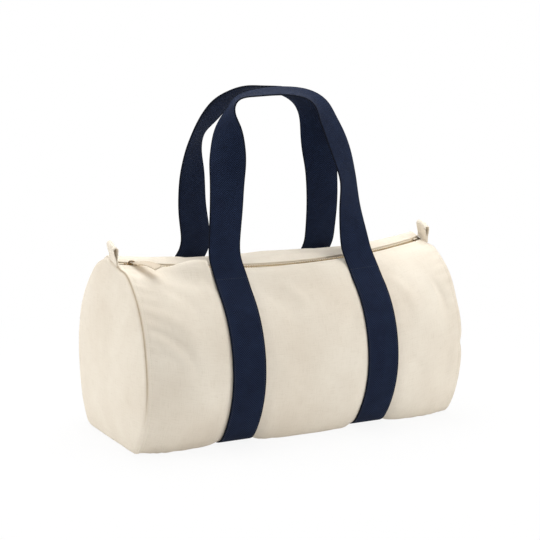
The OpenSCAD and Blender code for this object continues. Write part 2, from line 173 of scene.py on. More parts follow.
def finish(tree, shader, color, height, strength, distance):
    """Joins a colour to the shader, and a height as its bump."""
    tree.links.new(color, shader.inputs["Base Color"])
    bump = add(tree, "ShaderNodeBump", {"Height": height, "Strength": strength, "Distance": distance})
    tree.links.new(bump.outputs["Normal"], shader.inputs["Normal"])


def linear(r, g, b):
    """A screen colour of 0 to 255 as the linear values that nodes use."""
    return tuple(((c / 255 + 0.055) / 1.055) ** 2.4 if c > 10 else c / 255 / 12.92 for c in (r, g, b))


print("mid grey is", round(linear(128, 128, 128)[0], 3), "in a node")

# %% [markdown]
# Canvas is a plain weave: each thread goes over one and under the next. The pattern is two sets of waves at right
# angles on a UV map in metres, so it follows the cloth at its real size. Thick and thin places in the yarn,
# which the maker calls slubs, are noise drawn out along each thread. Natural cotton is never one colour.

# %% Canvas material
THREAD_M = 0.0009
CANVAS_LIGHT, CANVAS_DARK = linear(244, 235, 219), linear(231, 219, 201)
# A darker copy of the canvas colours: painted shade for the pull strip, which is the same cloth.
SHADED_LIGHT, SHADED_DARK = linear(221, 206, 185), linear(206, 190, 168)
# Colour of the painted shade in the valleys of the end seams.
SEAM_SHADE_TINT = linear(196, 181, 160)
MOTTLE_SCALE = 9.0
SLUB_ALONG, SLUB_ACROSS, SLUB_SHARE = 60, 900, 0.7
SLUB_SHADE = (0.93, 0.92, 0.90)
FLECK = linear(190, 170, 140)
FLECK_SCALE, FLECK_OVER, FLECK_SHARE = 420.0, 0.78, 0.35
WEAVE_SHARE, WEAVE_RISE = 0.5, 0.0004
WHITE = (1.0, 1.0, 1.0)


def canvas_material(name, light, dark):
    """Natural cotton canvas with weave, slubs, faint mottling, a few flecks, and painted shade in the seam valleys."""
    material, tree, shader = new_material(name, light, 0.92, sheen=0.06)
    uv, u, v = cloth_uv(tree)
    place = object_place(tree)
    weave = math_node(tree, "MULTIPLY", wave(tree, u, 2 * THREAD_M), wave(tree, v, 2 * THREAD_M))
    drawn_out = [add(tree, "ShaderNodeMapping", {"Vector": uv, "Scale": scale}).outputs["Vector"]
                 for scale in ((SLUB_ALONG, SLUB_ACROSS, 1), (SLUB_ACROSS, SLUB_ALONG, 1))]
    slubs = math_node(tree, "ADD", *[noise_value(tree, vector, 1.0, 3) for vector in drawn_out])
    cloth = ramp(tree, noise_value(tree, place, MOTTLE_SCALE, 4, 0.55), 0.3, 0.7, dark, light)
    cloth = mix_color(tree, "MULTIPLY", SLUB_SHARE, cloth, ramp(tree, slubs, 0.8, 1.2, SLUB_SHADE, WHITE))
    speck = math_node(tree, "GREATER_THAN", noise_value(tree, place, FLECK_SCALE, 1), FLECK_OVER)
    cloth = mix_color(tree, "MIX", math_node(tree, "MULTIPLY", speck, FLECK_SHARE), cloth, (*FLECK, 1))
    # Painted shade: the canvas darkens in the end seams' valleys by the share in the seam_shade attribute.
    seam_shade = add(tree, "ShaderNodeAttribute", attribute_name="seam_shade").outputs["Fac"]
    cloth = mix_color(tree, "MULTIPLY", seam_shade, cloth, (*SEAM_SHADE_TINT, 1))
    finish(tree, shader, cloth, math_node(tree, "MULTIPLY_ADD", weave, WEAVE_SHARE, slubs), 0.5, WEAVE_RISE)
    return material


canvas = canvas_material("natural_canvas", CANVAS_LIGHT, CANVAS_DARK)
# Painted shade: the pull strip and its loop take a darker copy of the canvas, as if they were in shade.
shaded_canvas = canvas_material("shaded_canvas", SHADED_LIGHT, SHADED_DARK)
print("canvas threads", THREAD_M * 1000, "mm apart")

# %% [markdown]
# The webbing is a herringbone twill: columns of slanting ribs that change direction. A rib is a wave of the
# sum or the difference of the two UV coordinates, and which of the two it is changes from column to column. Modelled
# ribs would take millions of faces, so a bump carries them. Its edges, the selvedges, are woven closer and darker.

# %% Webbing material
RIB_M = 0.0031
COLUMN_M = 0.0125
YARN_M = 0.0012
SELVEDGE_W, SELVEDGE_SHARE = 0.0016, 0.75
WEBBING_W = 0.050
NAVY, NAVY_DEEP = linear(35, 49, 79), linear(7, 10, 19)
WEAR_SCALE, WEAR_LOW, WEAR_HIGH = 40.0, (0.76, 0.76, 0.79), (1.2, 1.2, 1.18)
FUZZ_SCALE = 900.0
RIB_SHARE, YARN_SHARE, RIB_RISE = 0.6, 0.25, 0.0006


def webbing_material():
    """Dark blue herringbone webbing with raised ribs and a soft, slightly worn sheen."""
    material, tree, shader = new_material("navy_webbing", NAVY, 0.85)
    shader.inputs["Specular IOR Level"].default_value = 0.12
    _, u, v = cloth_uv(tree)
    place = object_place(tree)
    rib = wave(tree, math_node(tree, "ADD", math_node(tree, "PINGPONG", u, COLUMN_M), v), RIB_M)
    shade = ramp(tree, math_node(tree, "MULTIPLY_ADD", rib, 0.35, 0.5), 0.1, 0.9, NAVY_DEEP, NAVY)
    worn = ramp(tree, noise_value(tree, place, WEAR_SCALE, 6, 0.7), 0.35, 0.75, WEAR_LOW, WEAR_HIGH)
    shade = mix_color(tree, "MULTIPLY", 1.0, shade, worn)
    from_middle = math_node(tree, "ABSOLUTE", math_node(tree, "SUBTRACT", u, WEBBING_W))
    selvedge = math_node(tree, "GREATER_THAN", from_middle, WEBBING_W / 2 - SELVEDGE_W)
    shade = mix_color(tree, "MIX", math_node(tree, "MULTIPLY", selvedge, SELVEDGE_SHARE), shade, (*NAVY_DEEP, 1))
    fuzz = noise_value(tree, place, FUZZ_SCALE, 2)
    yarn = math_node(tree, "MULTIPLY_ADD", wave(tree, u, YARN_M), YARN_SHARE, fuzz)
    finish(tree, shader, shade, math_node(tree, "MULTIPLY_ADD", rib, RIB_SHARE, yarn), 0.8, RIB_RISE)
    return material


webbing = webbing_material()
print("webbing ribs", RIB_M * 1000, "mm apart")

# %% [markdown]
# The zip's metal is antique brass: dark in its hollows and rubbed bright on its edges. Pointiness could find those
# edges, but an export lacks it, so noise gives the patchy finish. The teeth are rubbed brighter than the slider,
# because it runs over them.

# %% Brass material
PATCH_SCALE, PATCH_RISE = 700.0, 0.0001
ROUGH_DARK, ROUGH_RUBBED = 0.55, 0.28


def brass_material(name, dark, rubbed):
    """Antique brass, dark with brighter rubbed patches."""
    material, tree, shader = new_material(name, rubbed, 0.38, metallic=1.0)
    patches = noise_value(tree, object_place(tree), PATCH_SCALE, 5)
    finish(tree, shader, ramp(tree, patches, 0.35, 0.68, dark, rubbed), patches, 0.3, PATCH_RISE)
    rough = add(tree, "ShaderNodeMapRange", {0: patches, 3: ROUGH_DARK, 4: ROUGH_RUBBED})
    tree.links.new(rough.outputs[0], shader.inputs["Roughness"])
    return material


brass = brass_material("antique_brass", linear(34, 26, 18), linear(150, 118, 74))
bright_brass = brass_material("rubbed_brass", linear(128, 106, 74), linear(214, 188, 142))
print("brass roughness", ROUGH_RUBBED, "to", ROUGH_DARK)

# %% [markdown]
# Sewing thread is twisted from two plies, and the zip's tape is woven with fine ribs. Both are small in any picture,
# so one wave is enough for each. Thread comes in three colours: natural on the canvas, dark blue on the webbing, and
# a darker natural on the pull strip, which is painted shade.

# %% Thread and tape materials
TWIST_SCALE, TWIST_SHADE = 1200.0, 0.8
TAPE_RIB_M, TAPE_RIB_RISE = 0.0011, 0.0002


def thread_material(name, color):
    """Sewing thread: two twisted plies, seen as fine slanting waves."""
    material, tree, shader = new_material(name, color, 0.7, sheen=0.2)
    twist = add(tree, "ShaderNodeTexWave", {"Vector": object_place(tree), "Scale": TWIST_SCALE, "Distortion": 2.0},
                bands_direction="DIAGONAL").outputs["Fac"]
    tone = ramp(tree, twist, 0.0, 1.0, tuple(c * TWIST_SHADE for c in color), color)
    tree.links.new(tone, shader.inputs["Base Color"])
    return material


def tape_material():
    """Woven zip tape: fine ribs along its length on a warm off-white."""
    material, tree, shader = new_material("zip_tape", linear(232, 222, 203), 0.88, sheen=0.1)
    rib = wave(tree, cloth_uv(tree)[2], TAPE_RIB_M)
    raised = math_node(tree, "MULTIPLY_ADD", rib, 0.5, 0.5)
    tone = ramp(tree, raised, 0.0, 1.0, linear(219, 207, 186), linear(236, 226, 207))
    finish(tree, shader, tone, rib, 0.4, TAPE_RIB_RISE)
    return material


pale_thread = thread_material("natural_thread", linear(236, 228, 208))
# A darker thread for the pull strip's stitches: painted shade, like the strip's own darker canvas.
shaded_thread = thread_material("shaded_thread", linear(205, 190, 166))
navy_thread = thread_material("navy_thread", linear(24, 31, 48))
zip_cloth = tape_material()
print("materials", len(bpy.data.materials))

# %% [markdown]
# ## The shape of the barrel
# The barrel is a loft: an oval section that changes a little along the bag, with its top drawn to the sloping plane
# in which the zip lies, and its bottom flattened by the floor. The functions take whole arrays, so a mesh of tens
# of thousands of points needs no slow loop.

# %% Sizes of the barrel
BAG_LEN = 0.500
HALF_LEN = BAG_LEN / 2
END_HALF_W = 0.118
MID_BULGE = 0.011
END_CREST = 0.251
CREST_SAG = 0.0075
KEEL_DEPTH = 0.042
CANVAS_T = 0.0009
FLOOR_ROUND = 0.007
BAND_X = 0.106


def smooth(t):
    """Rises gently from 0 to 1 while t goes from 0 to 1."""
    t = np.clip(t, 0, 1)
    return t * t * (3 - 2 * t)


def hump(value, at, width):
    """A soft hump, 1 high, of the given width."""
    return np.exp(-(((value - at) / width) ** 2))


def fullness(x):
    """1 in the middle of the bag and 0 at its ends."""
    return 1 - np.minimum(np.abs(x) / HALF_LEN, 1) ** 3


def half_width(x):
    """Half the bag's depth at x."""
    return END_HALF_W + MID_BULGE * fullness(x)


print("barrel", BAG_LEN, "m long and", round(2 * float(half_width(0)), 3), "m deep in the middle")

# %% [markdown]
# The zip is sewn into the top as an arc in one sloping plane, so that its slider runs without a twist. Beside it,
# the canvas has to lie in that same plane, and further off it bends over into the round of the barrel.

# %% Section of the barrel
ZIP_R = 0.740
ZIP_MID_X = -0.012
ZIP_FRONT_Y = 0.048
ZIP_MID_Z = 0.2335
ZIP_TILT = math.radians(17)
TAPE_W = 0.012
TAPE_T = 0.0006
LIP_GAP = 0.0068
LIP_LIFT = 0.0024
LIP_SHIFT = LIP_LIFT * math.sin(ZIP_TILT)
TAPE_EDGE = 0.0018
LIP_W = LIP_GAP + TAPE_W - TAPE_EDGE
LIP_FADE = 0.0264


def zip_y(x, radius):
    """Where an arc of the zip's plane lies, at x."""
    drop = ZIP_R - np.sqrt(radius ** 2 - (x - ZIP_MID_X) ** 2)
    return -ZIP_FRONT_Y + drop * math.cos(ZIP_TILT)


def plane_z(y, lift):
    """Height of the zip's plane at y, lifted square to it."""
    return ZIP_MID_Z + (y + ZIP_FRONT_Y) * math.tan(ZIP_TILT) + lift / math.cos(ZIP_TILT)


def section_point(x, angle):
    """Points (y, z) of the section at x, at an angle from the top toward the front."""
    crest = END_CREST - CREST_SAG * fullness(x)
    y = -half_width(x) * np.sin(angle)
    round_z = (crest - KEEL_DEPTH) / 2 + (crest + KEEL_DEPTH) / 2 * np.cos(angle)
    near = np.abs(y - zip_y(x, ZIP_R)) / math.cos(ZIP_TILT)
    share = np.where(np.cos(angle) > 0, 1 - smooth((near - LIP_W) / LIP_FADE), 0)
    z = round_z + share * (plane_z(y, LIP_LIFT) - round_z)
    return y, (z + np.sqrt(z ** 2 + FLOOR_ROUND ** 2)) / 2


def angle_at(x, y):
    """Angle of the section point on the top at y."""
    return np.arcsin(-y / half_width(x))


print("the zip's plane rises", round(float(plane_z(0.0, 0.0)) - ZIP_MID_Z, 4), "m from its line to the middle")

# %% [markdown]
# ## Drapes and creases
# A filled cloth bag isn't smooth. The straps pull the cloth in and lift it, so soft folds run away from them, the
# end seams pucker, and broad hollows lie between. A cloth simulation gives other folds at each try, so these are
# listed one by one: a stroke is a soft ridge or hollow along a line, given by how far along the bag and how high its
# ends lie. Noise adds the small unevenness of cotton.

# %% Strokes on the canvas
# Each stroke: start x and z, end x and z, width and height, all in millimetres, on the front (-1) or the back (1).
STROKES = {
    -1: [
        (-244, 176, -178, 108, 5.5, -2.1), (-238, 196, -172, 136, 9, 1.6), (-246, 146, -200, 118, 6, -1.4),
        (-215, 115, -160, 45, 14, 1.6), (-165, 232, -140, 200, 6, 1.6), (-215, 222, -165, 180, 8, -1.4),
        (-60, 222, -2, 184, 6.5, 3.0), (-74, 210, -18, 160, 10, -2.0), (-72, 130, -40, 50, 14, 1.6),
        (74, 200, 30, 120, 12, -2.0), (20, 110, 65, 45, 14, 1.4), (78, 100, 30, 60, 12, -1.2),
        (138, 215, 175, 140, 11, 2.0), (212, 206, 218, 146, 6.5, -2.2), (230, 200, 234, 120, 9, 1.2),
        (180, 200, 186, 130, 14, 1.0), (225, 110, 200, 50, 12, -1.6), (140, 110, 185, 50, 14, -1.4),
        (262, 128, 238, 106, 7, -3.4),
    ],
    1: [
        (-225, 200, -150, 110, 13, -3.0), (-235, 150, -170, 60, 12, 2.2), (-80, 215, -15, 130, 10, 2.8),
        (-75, 130, -30, 40, 13, -1.8), (75, 195, 10, 100, 11, -2.4), (70, 110, 20, 40, 13, 1.6),
        (140, 215, 200, 120, 11, 2.8), (228, 170, 190, 60, 12, -2.6),
    ],
}
MM = 0.001
STROKE_BEND, STROKE_GAIN, STROKE_FADE, STROKE_WIDEN = 0.12, 1.1, 0.8, 0.8


def stroke_height(u, v, strokes, gain=1.0, bend=0.0, fade=1.0, widen=0.0):
    """Adds up soft strokes over the points (u, v). They fade at both ends, and may bend and widen."""
    total = np.zeros_like(u)
    for u0, v0, u1, v1, width, height in np.array(strokes) * MM:
        du, dv = u1 - u0, v1 - v0
        length = math.hypot(du, dv)
        along = np.clip(((u - u0) * du + (v - v0) * dv) / length ** 2, 0, 1)
        arch = np.sin(along * math.pi)
        off = ((v - v0) * du - (u - u0) * dv) / length
        total += gain * height * arch ** fade * hump(off, bend * length * arch, width * (1 + widen * (along - 0.5)))
    return total


def cloth_noise(points, scale, seed):
    """Smooth noise from -1 to 1 at each point."""
    shift = Vector((seed, seed * 0.7, -seed))
    return np.array([noise.noise(Vector(p) * scale + shift) for p in points])


print("strokes", sum(len(strokes) for strokes in STROKES.values()))

# %% [markdown]
# All the moves of the cloth are added up along its normals. Beside the zip the cloth is held by the tape, and under
# the bands by the webbing, so there it moves less. The wide belly comes from the weight of what is packed, and the
# ridge by the left handle's foot from the handle that lifts the cloth.

# %% Sculpt the canvas
# Each lump: height, scale and seed of its noise.
LUMPS = [(0.0022, 9, 3.1), (0.0010, 24, 7.7)]
TOP_Z, RIDGE_Z = 0.2, 0.15
HELD_BY_TAPE, HELD_FADE = 0.020, 0.03
HELD_BY_BAND, BAND_EASE, BAND_FADE = 0.92, 0.001, 0.016
GROOVE_SIDE, GROOVE_FLOOR, GROOVE_TOP, GROOVE_FADE = 0.0012, 0.0030, 0.10, 0.09
BELLY, BELLY_TOP, BELLY_FADE = 0.0042, 0.075, 0.045
TAPER_AT, TAPER_FOOT = 0.062, 0.06
TAPER_END = HALF_LEN - BAND_X - WEBBING_W / 2
TAPER_RISE = {-1: 0.0054, 1: 0.0018}
END_WANDER, END_WANDER_REACH, END_WANDER_SCALE, END_WANDER_SEED = 0.0024, 0.045, 15, 11.5
RIDGE_AT, RIDGE_STEEP_W, RIDGE_W, RIDGE_RISE = 0.0158, 0.0048, 0.0110, 0.0165
RIDGE_START, RIDGE_IN, RIDGE_END, RIDGE_OUT = -0.205, 0.055, -0.137, 0.008
LIP_DIP_REACH = 0.016
LIP_RISE_X = [-0.240, -0.205, -0.140, -0.085, -0.060, -0.030, 0.000, 0.080, 0.150, 0.185, 0.215, 0.240]
LIP_RISE = [0.0014, 0.0016, 0.0014, -0.0001, -0.0010, -0.0008, 0.0007, 0.0011, 0.0009, 0.0016, 0.0008, 0.0006]
WELT_AT, WELT_W, WELT_RISE = 0.0030, 0.0022, 0.0003
SEAM_STITCH_AT, LIP_STITCH_AT = 0.0064, 0.0044
STITCH_GROOVE_W, STITCH_GROOVE, SEAM_GROOVE = 0.0011, 0.0004, 0.00024
PUCKER_PITCH, PUCKER_REACH, PUCKER_DEPTH, PUCKER_FULL_AT = 0.017, 0.016, 0.0004, 0.006
PUCKER_WANDER, PUCKER_SCALE, PUCKER_SEED = 2.1, 25, 1.3


def sculpt(points, normals, around, total_around):
    """Moves the barrel along its normals. around is the distance round the section from the front lip."""
    x, y, z = points.T
    inset = HALF_LEN - np.abs(x)
    from_band = np.abs(np.abs(x) - BAND_X) - WEBBING_W / 2
    before_zip = zip_y(x, ZIP_R) - y
    under = 1 - smooth((from_band + BAND_EASE) / BAND_FADE)
    by_tape = smooth((np.abs(before_zip) - HELD_BY_TAPE) / HELD_FADE)
    still = np.where(z > TOP_Z, by_tape, 1)
    free = still * (1 - HELD_BY_BAND * under)

    move = sum(height * cloth_noise(points, scale, seed) for height, scale, seed in LUMPS) * free
    for side, strokes in STROKES.items():
        height = stroke_height(x, z, strokes, STROKE_GAIN, STROKE_BEND, STROKE_FADE, STROKE_WIDEN)
        move += np.where(y * side > 0, height, 0) * free

    low = smooth((GROOVE_TOP - z) / GROOVE_FADE)
    move -= under * (GROOVE_SIDE + (GROOVE_FLOOR - GROOVE_SIDE) * low) * still
    between = np.sqrt(smooth(from_band / BELLY_FADE)) * smooth(inset / BELLY_FADE)
    move += BELLY * smooth((BELLY_TOP - z) / BELLY_TOP) * between
    taper = smooth(inset / TAPER_AT) * (1 - smooth((inset - TAPER_AT) / (TAPER_END - TAPER_AT)))
    taper *= np.clip(np.abs(y) / END_HALF_W, 0, 1) ** 2 * np.where(z > TOP_Z, by_tape, smooth(z / TAPER_FOOT))
    move += np.where(x < 0, TAPER_RISE[-1], TAPER_RISE[1]) * taper
    wander = cloth_noise(points, END_WANDER_SCALE, END_WANDER_SEED)
    move += END_WANDER * hump(inset, 0, END_WANDER_REACH) * wander * still

    ridge = hump(before_zip, RIDGE_AT, np.where(before_zip < RIDGE_AT, RIDGE_STEEP_W, RIDGE_W)) * (z > RIDGE_Z)
    move += RIDGE_RISE * ridge * smooth((x - RIDGE_START) / RIDGE_IN) * (1 - smooth((x - RIDGE_END) / RIDGE_OUT))
    near_lip = hump(np.maximum(before_zip - LIP_GAP, 0), 0, LIP_DIP_REACH) * (before_zip > 0) * (z > RIDGE_Z)
    move += near_lip * np.interp(x, LIP_RISE_X, LIP_RISE)

    move += WELT_RISE * hump(inset, WELT_AT, WELT_W)
    move -= SEAM_GROOVE * hump(inset, SEAM_STITCH_AT, STITCH_GROOVE_W)
    from_lip = np.minimum(around, total_around - around)
    move -= STITCH_GROOVE * hump(from_lip, LIP_STITCH_AT, STITCH_GROOVE_W)
    drift = PUCKER_WANDER * cloth_noise(np.column_stack((x * 0, around, around * 0)), PUCKER_SCALE, PUCKER_SEED)
    ripple = np.sin(2 * math.pi * around / PUCKER_PITCH + drift) * hump(inset, 0, PUCKER_REACH)
    move += PUCKER_DEPTH * inset / PUCKER_FULL_AT * ripple
    return points + normals * move[:, None]


print("the ridge rises", RIDGE_RISE * 1000, "mm and the belly", BELLY * 1000, "mm")

# %% [markdown]
# ## Making a mesh
# Every piece of the bag is made from a list of points and a list of faces, because a formula can then hold its shape.
# The helpers turn such lists into an object, point its faces outward, run its modifiers, and hide the imported parts
# that it replaces.

# %% Mesh helpers


def mesh_object(name, points, faces, uvs=None, material=None, smooth_shading=True, seam_shade=None):
    """Makes an object at the origin from points, faces and one UV pair for each point."""
    mesh = bpy.data.meshes.new(name)
    mesh.from_pydata([tuple(p) for p in points], [], [tuple(f) for f in faces])
    if uvs is not None:
        layer = mesh.uv_layers.new(name="cloth")
        index = np.zeros(len(mesh.loops), np.int32)
        mesh.loops.foreach_get("vertex_index", index)
        layer.data.foreach_set("uv", np.asarray(uvs, np.float32)[index].ravel())
    # Painted shade: a share for each point that darkens the canvas in the seam valleys.
    if seam_shade is not None:
        values = np.asarray(seam_shade, np.float32).ravel()
        mesh.attributes.new("seam_shade", "FLOAT", "POINT").data.foreach_set("value", values)
    mesh.validate()
    if material is not None:
        mesh.materials.append(material)
    if smooth_shading:
        mesh.shade_smooth()
    return new_object(name, mesh)


def grid_faces(rows, cols, closed=False, caps=False):
    """Quads of a grid whose points lie row by row. closed joins each row's ends, and caps fill both end rows."""
    faces = [
        (r * cols + c, r * cols + (c + 1) % cols, (r + 1) * cols + (c + 1) % cols, (r + 1) * cols + c)
        for r in range(rows - 1) for c in range(cols if closed else cols - 1)
    ]
    if caps:
        last = (rows - 1) * cols
        faces += [tuple(range(cols - 1, -1, -1)), tuple(range(last, last + cols))]
    return faces


def fix_normals(obj):
    """Turns every face outward."""
    mesh = bmesh.new()
    mesh.from_mesh(obj.data)
    bmesh.ops.recalc_face_normals(mesh, faces=mesh.faces)
    mesh.to_mesh(obj.data)
    mesh.free()


print("one quad", grid_faces(2, 2))

# %% Modifier and dressing helpers


def evaluated_mesh(obj):
    """A plain mesh of the object with its modifiers applied."""
    depsgraph = bpy.context.evaluated_depsgraph_get()
    return bpy.data.meshes.new_from_object(obj.evaluated_get(depsgraph), depsgraph=depsgraph)


def apply_modifiers(obj):
    """Replaces the mesh by its evaluated one and drops the modifiers."""
    mesh = evaluated_mesh(obj)
    obj.modifiers.clear()
    obj.data = mesh
    return obj


def add_wall(obj, thickness, offset=-1.0):
    """Gives a sheet its thickness. An offset of -1 keeps the sheet as the outside."""
    wall = obj.modifiers.new("wall", "SOLIDIFY")
    wall.thickness = thickness
    wall.offset = offset


def add_bevel(obj, width, segments, angle=30):
    """Rounds the edges that are sharper than the angle."""
    bevel = obj.modifiers.new("edges", "BEVEL")
    bevel.width = width
    bevel.segments = segments
    bevel.limit_method = "ANGLE"
    bevel.angle_limit = math.radians(angle)


def dress(obj, body, slot, *nodes):
    """Parents a piece to the empty of its body and hides the imported nodes that it replaces. The slot is not used."""
    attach(obj, body)
    if nodes:
        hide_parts(*nodes)
    return obj


def faces_of(*objs):
    """Number of faces."""
    return sum(len(obj.data.polygons) for obj in objs)


print("packed nodes to dress", len(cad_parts))

# %% [markdown]
# ## The body panel
# One sheet of canvas wraps the barrel. It could be a cylinder that is pulled into shape, but rings cut from
# the section functions follow the zip's curve exactly. They lie closer together at the seams, where the cloth turns
# in to meet the end panel in a narrow valley.

# %% Rings of the barrel
COLUMNS = 176
RING_POINTS = 200
RING_CROWD, END_CROWD = 0.07, 0.86
SEAM_ROUND, SEAM_DEPTH = 0.0024, 0.0017
FLOOR_SKIN = 0.0003


def crowded_ends(count):
    """Places along the bag that lie closer together at the end seams."""
    t = np.linspace(-1, 1, count)
    return HALF_LEN * np.sin(t * math.pi / 2 * END_CROWD) / math.sin(math.pi / 2 * END_CROWD)


def ring_at(x):
    """Points (y, z) once round the section at x, from lip to lip, closer together at the lips."""
    first = angle_at(x, zip_y(x, ZIP_R + LIP_GAP) - LIP_SHIFT)
    last = 2 * math.pi + angle_at(x, zip_y(x, ZIP_R - LIP_GAP) - LIP_SHIFT)
    t = np.linspace(0, 1, RING_POINTS)
    angle = first + (last - first) * (t - RING_CROWD * np.sin(2 * math.pi * t))
    return section_point(np.full(RING_POINTS, x), angle)


def grid_normals(points):
    """Normals of a grid of points, rows along the bag and columns round it."""
    normals = np.cross(np.gradient(points, axis=1), np.gradient(points, axis=0))
    return normals / np.linalg.norm(normals, axis=2, keepdims=True)


def walked(line):
    """Distance along a line to each of its points."""
    return np.concatenate([[0], np.cumsum(np.linalg.norm(np.diff(line, axis=0), axis=1))])


def barrel_grid():
    """The sculpted canvas as a grid: one row for each place along the bag."""
    places = crowded_ends(COLUMNS)
    grid = np.array([[(x, y, z) for y, z in zip(*ring_at(x))] for x in places])
    around = np.array([walked(ring) for ring in grid])
    normals = grid_normals(grid)
    whole = np.repeat(around[:, -1:], RING_POINTS, axis=1)
    moved = sculpt(grid.reshape(-1, 3), normals.reshape(-1, 3), around.ravel(), whole.ravel()).reshape(grid.shape)
    turn = np.clip(1 - (HALF_LEN - np.abs(places)) / SEAM_ROUND, 0, 1)
    moved -= normals * (SEAM_DEPTH * (1 - np.sqrt(1 - turn ** 2)))[:, None, None]
    moved[:, :, 2] = np.maximum(moved[:, :, 2], FLOOR_SKIN)
    return places, moved, normals, around


places, barrel, barrel_normals, barrel_around = barrel_grid()
print("barrel grid", barrel.shape[0], "rings of", barrel.shape[1], "points")

# %% [markdown]
# The canvas turns under at the zip and is sewn down: that folded edge is the lip. Each ring therefore starts inside,
# runs round a small half circle at the front lip, goes round the bag and ends the same way at the back lip. A
# modifier gives the sheet its wall on the inside, so the outside stays as it was sculpted.

# %% Body panel
FOLD_R, FOLD_STEPS = 0.00105, 5
HEM_W, HEM_STEPS = 0.009, 2
# Width of the painted seam shade, and where it fades toward the back and toward the floor.
SEAM_SHADE_W = 0.0009
SEAM_SHADE_Y, SEAM_SHADE_Y_FADE, SEAM_SHADE_Z, SEAM_SHADE_Z_FADE = 0.03, 0.06, 0.03, 0.08


def lip_fold(edge, toward, outward):
    """Points that turn a lip's edge under in a half circle and run back as its hem."""
    angles = [math.pi * k / FOLD_STEPS for k in range(1, FOLD_STEPS + 1)]
    turned = [edge + toward * FOLD_R * math.sin(a) - outward * FOLD_R * (1 - math.cos(a)) for a in angles]
    return turned + [turned[-1] - toward * HEM_W * k / HEM_STEPS for k in range(1, HEM_STEPS + 1)]


def body_rows():
    """Each row of the barrel with its two folded lips added, and the UV of each point."""
    rows, uvs = [], []
    for x, ring, normals, around in zip(places, barrel, barrel_normals, barrel_around):
        folds = []
        for end, step in ((0, 1), (-1, -1)):
            toward = ring[end] - ring[end + step]
            toward[0] = 0
            folds.append(lip_fold(ring[end], toward / np.linalg.norm(toward), normals[end]))
        front, back = folds[0][::-1], folds[1]
        front_v = [-np.linalg.norm(p - ring[0]) for p in front]
        back_v = [around[-1] + np.linalg.norm(p - ring[-1]) for p in back]
        rows.append(front + list(ring) + back)
        uvs.append([(x, v) for v in front_v + list(around) + back_v])
    return np.array(rows), np.array(uvs)


def seam_shade_share(points, from_seam):
    """Share of painted shade in the seam's valley: less on the rear half and none by the floor."""
    y, z = points[..., 1], points[..., 2]
    return hump(from_seam, 0, SEAM_SHADE_W) * smooth((SEAM_SHADE_Y - y) / SEAM_SHADE_Y_FADE) * smooth((z - SEAM_SHADE_Z) / SEAM_SHADE_Z_FADE)


def make_body_panel():
    """The sheet that wraps the barrel, as a grid with its wall inside."""
    rows, uvs = body_rows()
    cols = rows.shape[1]
    # The seam_shade share paints shade into the valleys of the end seams.
    from_seam = np.repeat((HALF_LEN - np.abs(places))[:, None], cols, axis=1)
    obj = mesh_object("canvas_body", rows.reshape(-1, 3), grid_faces(len(rows), cols), uvs.reshape(-1, 2), canvas,
                      seam_shade=seam_shade_share(rows, from_seam))
    add_wall(obj, CANVAS_T)
    return dress(apply_modifiers(obj), "bag", "canvas", "body_panel")


body = make_body_panel()
print("body panel", faces_of(body), "faces")

# %% [markdown]
# ## The end panels
# Each end is a round of canvas that swells outward a little. A scaled sphere would miss the zip's slope and the flat
# underside, so the panel starts from the body's own last ring, and the two share every point of the seam. Rings
# that shrink toward the middle make it, and the last ring closes on one point.

# %% End panels
END_DOME, DOME_EDGE, DOME_POWER = 0.010, 0.965, 2.4
DOME_RINGS, RING_POWER = 46, 1.35
SEAM_TURN, SEAM_LIFT = 0.004, 1.5 * SEAM_DEPTH
BRIDGE_SHARES = (0.2, 0.4, 0.6, 0.8)
END_LUMPS = [(0.0012, 13, 5.0), (0.0006, 34, 2.0)]
END_FOLD_FADE = 0.03
RIM_PUCKER, RIM_PUCKER_AT, RIM_PUCKER_W, RIM_PUCKER_SCALE, RIM_PUCKER_SEED = 0.0007, 0.009, 0.007, 75, 9.0
# Each stroke: start y and z, end y and z, width and height, all in millimetres, on the left (-1) or right (1) end.
END_STROKES = {
    -1: [
        (-60, 200, -10, 120, 14, -1.6), (60, 190, 30, 80, 16, 1.4), (-90, 140, -60, 50, 13, 1.2),
        (10, 100, 60, 30, 18, -1.4), (-20, 235, 10, 180, 10, 1.2),
    ],
    1: [
        (50, 200, 0, 120, 14, -1.6), (-60, 180, -30, 80, 16, 1.4), (90, 130, 50, 50, 13, 1.2),
        (-10, 90, -60, 30, 18, -1.4),
    ],
}


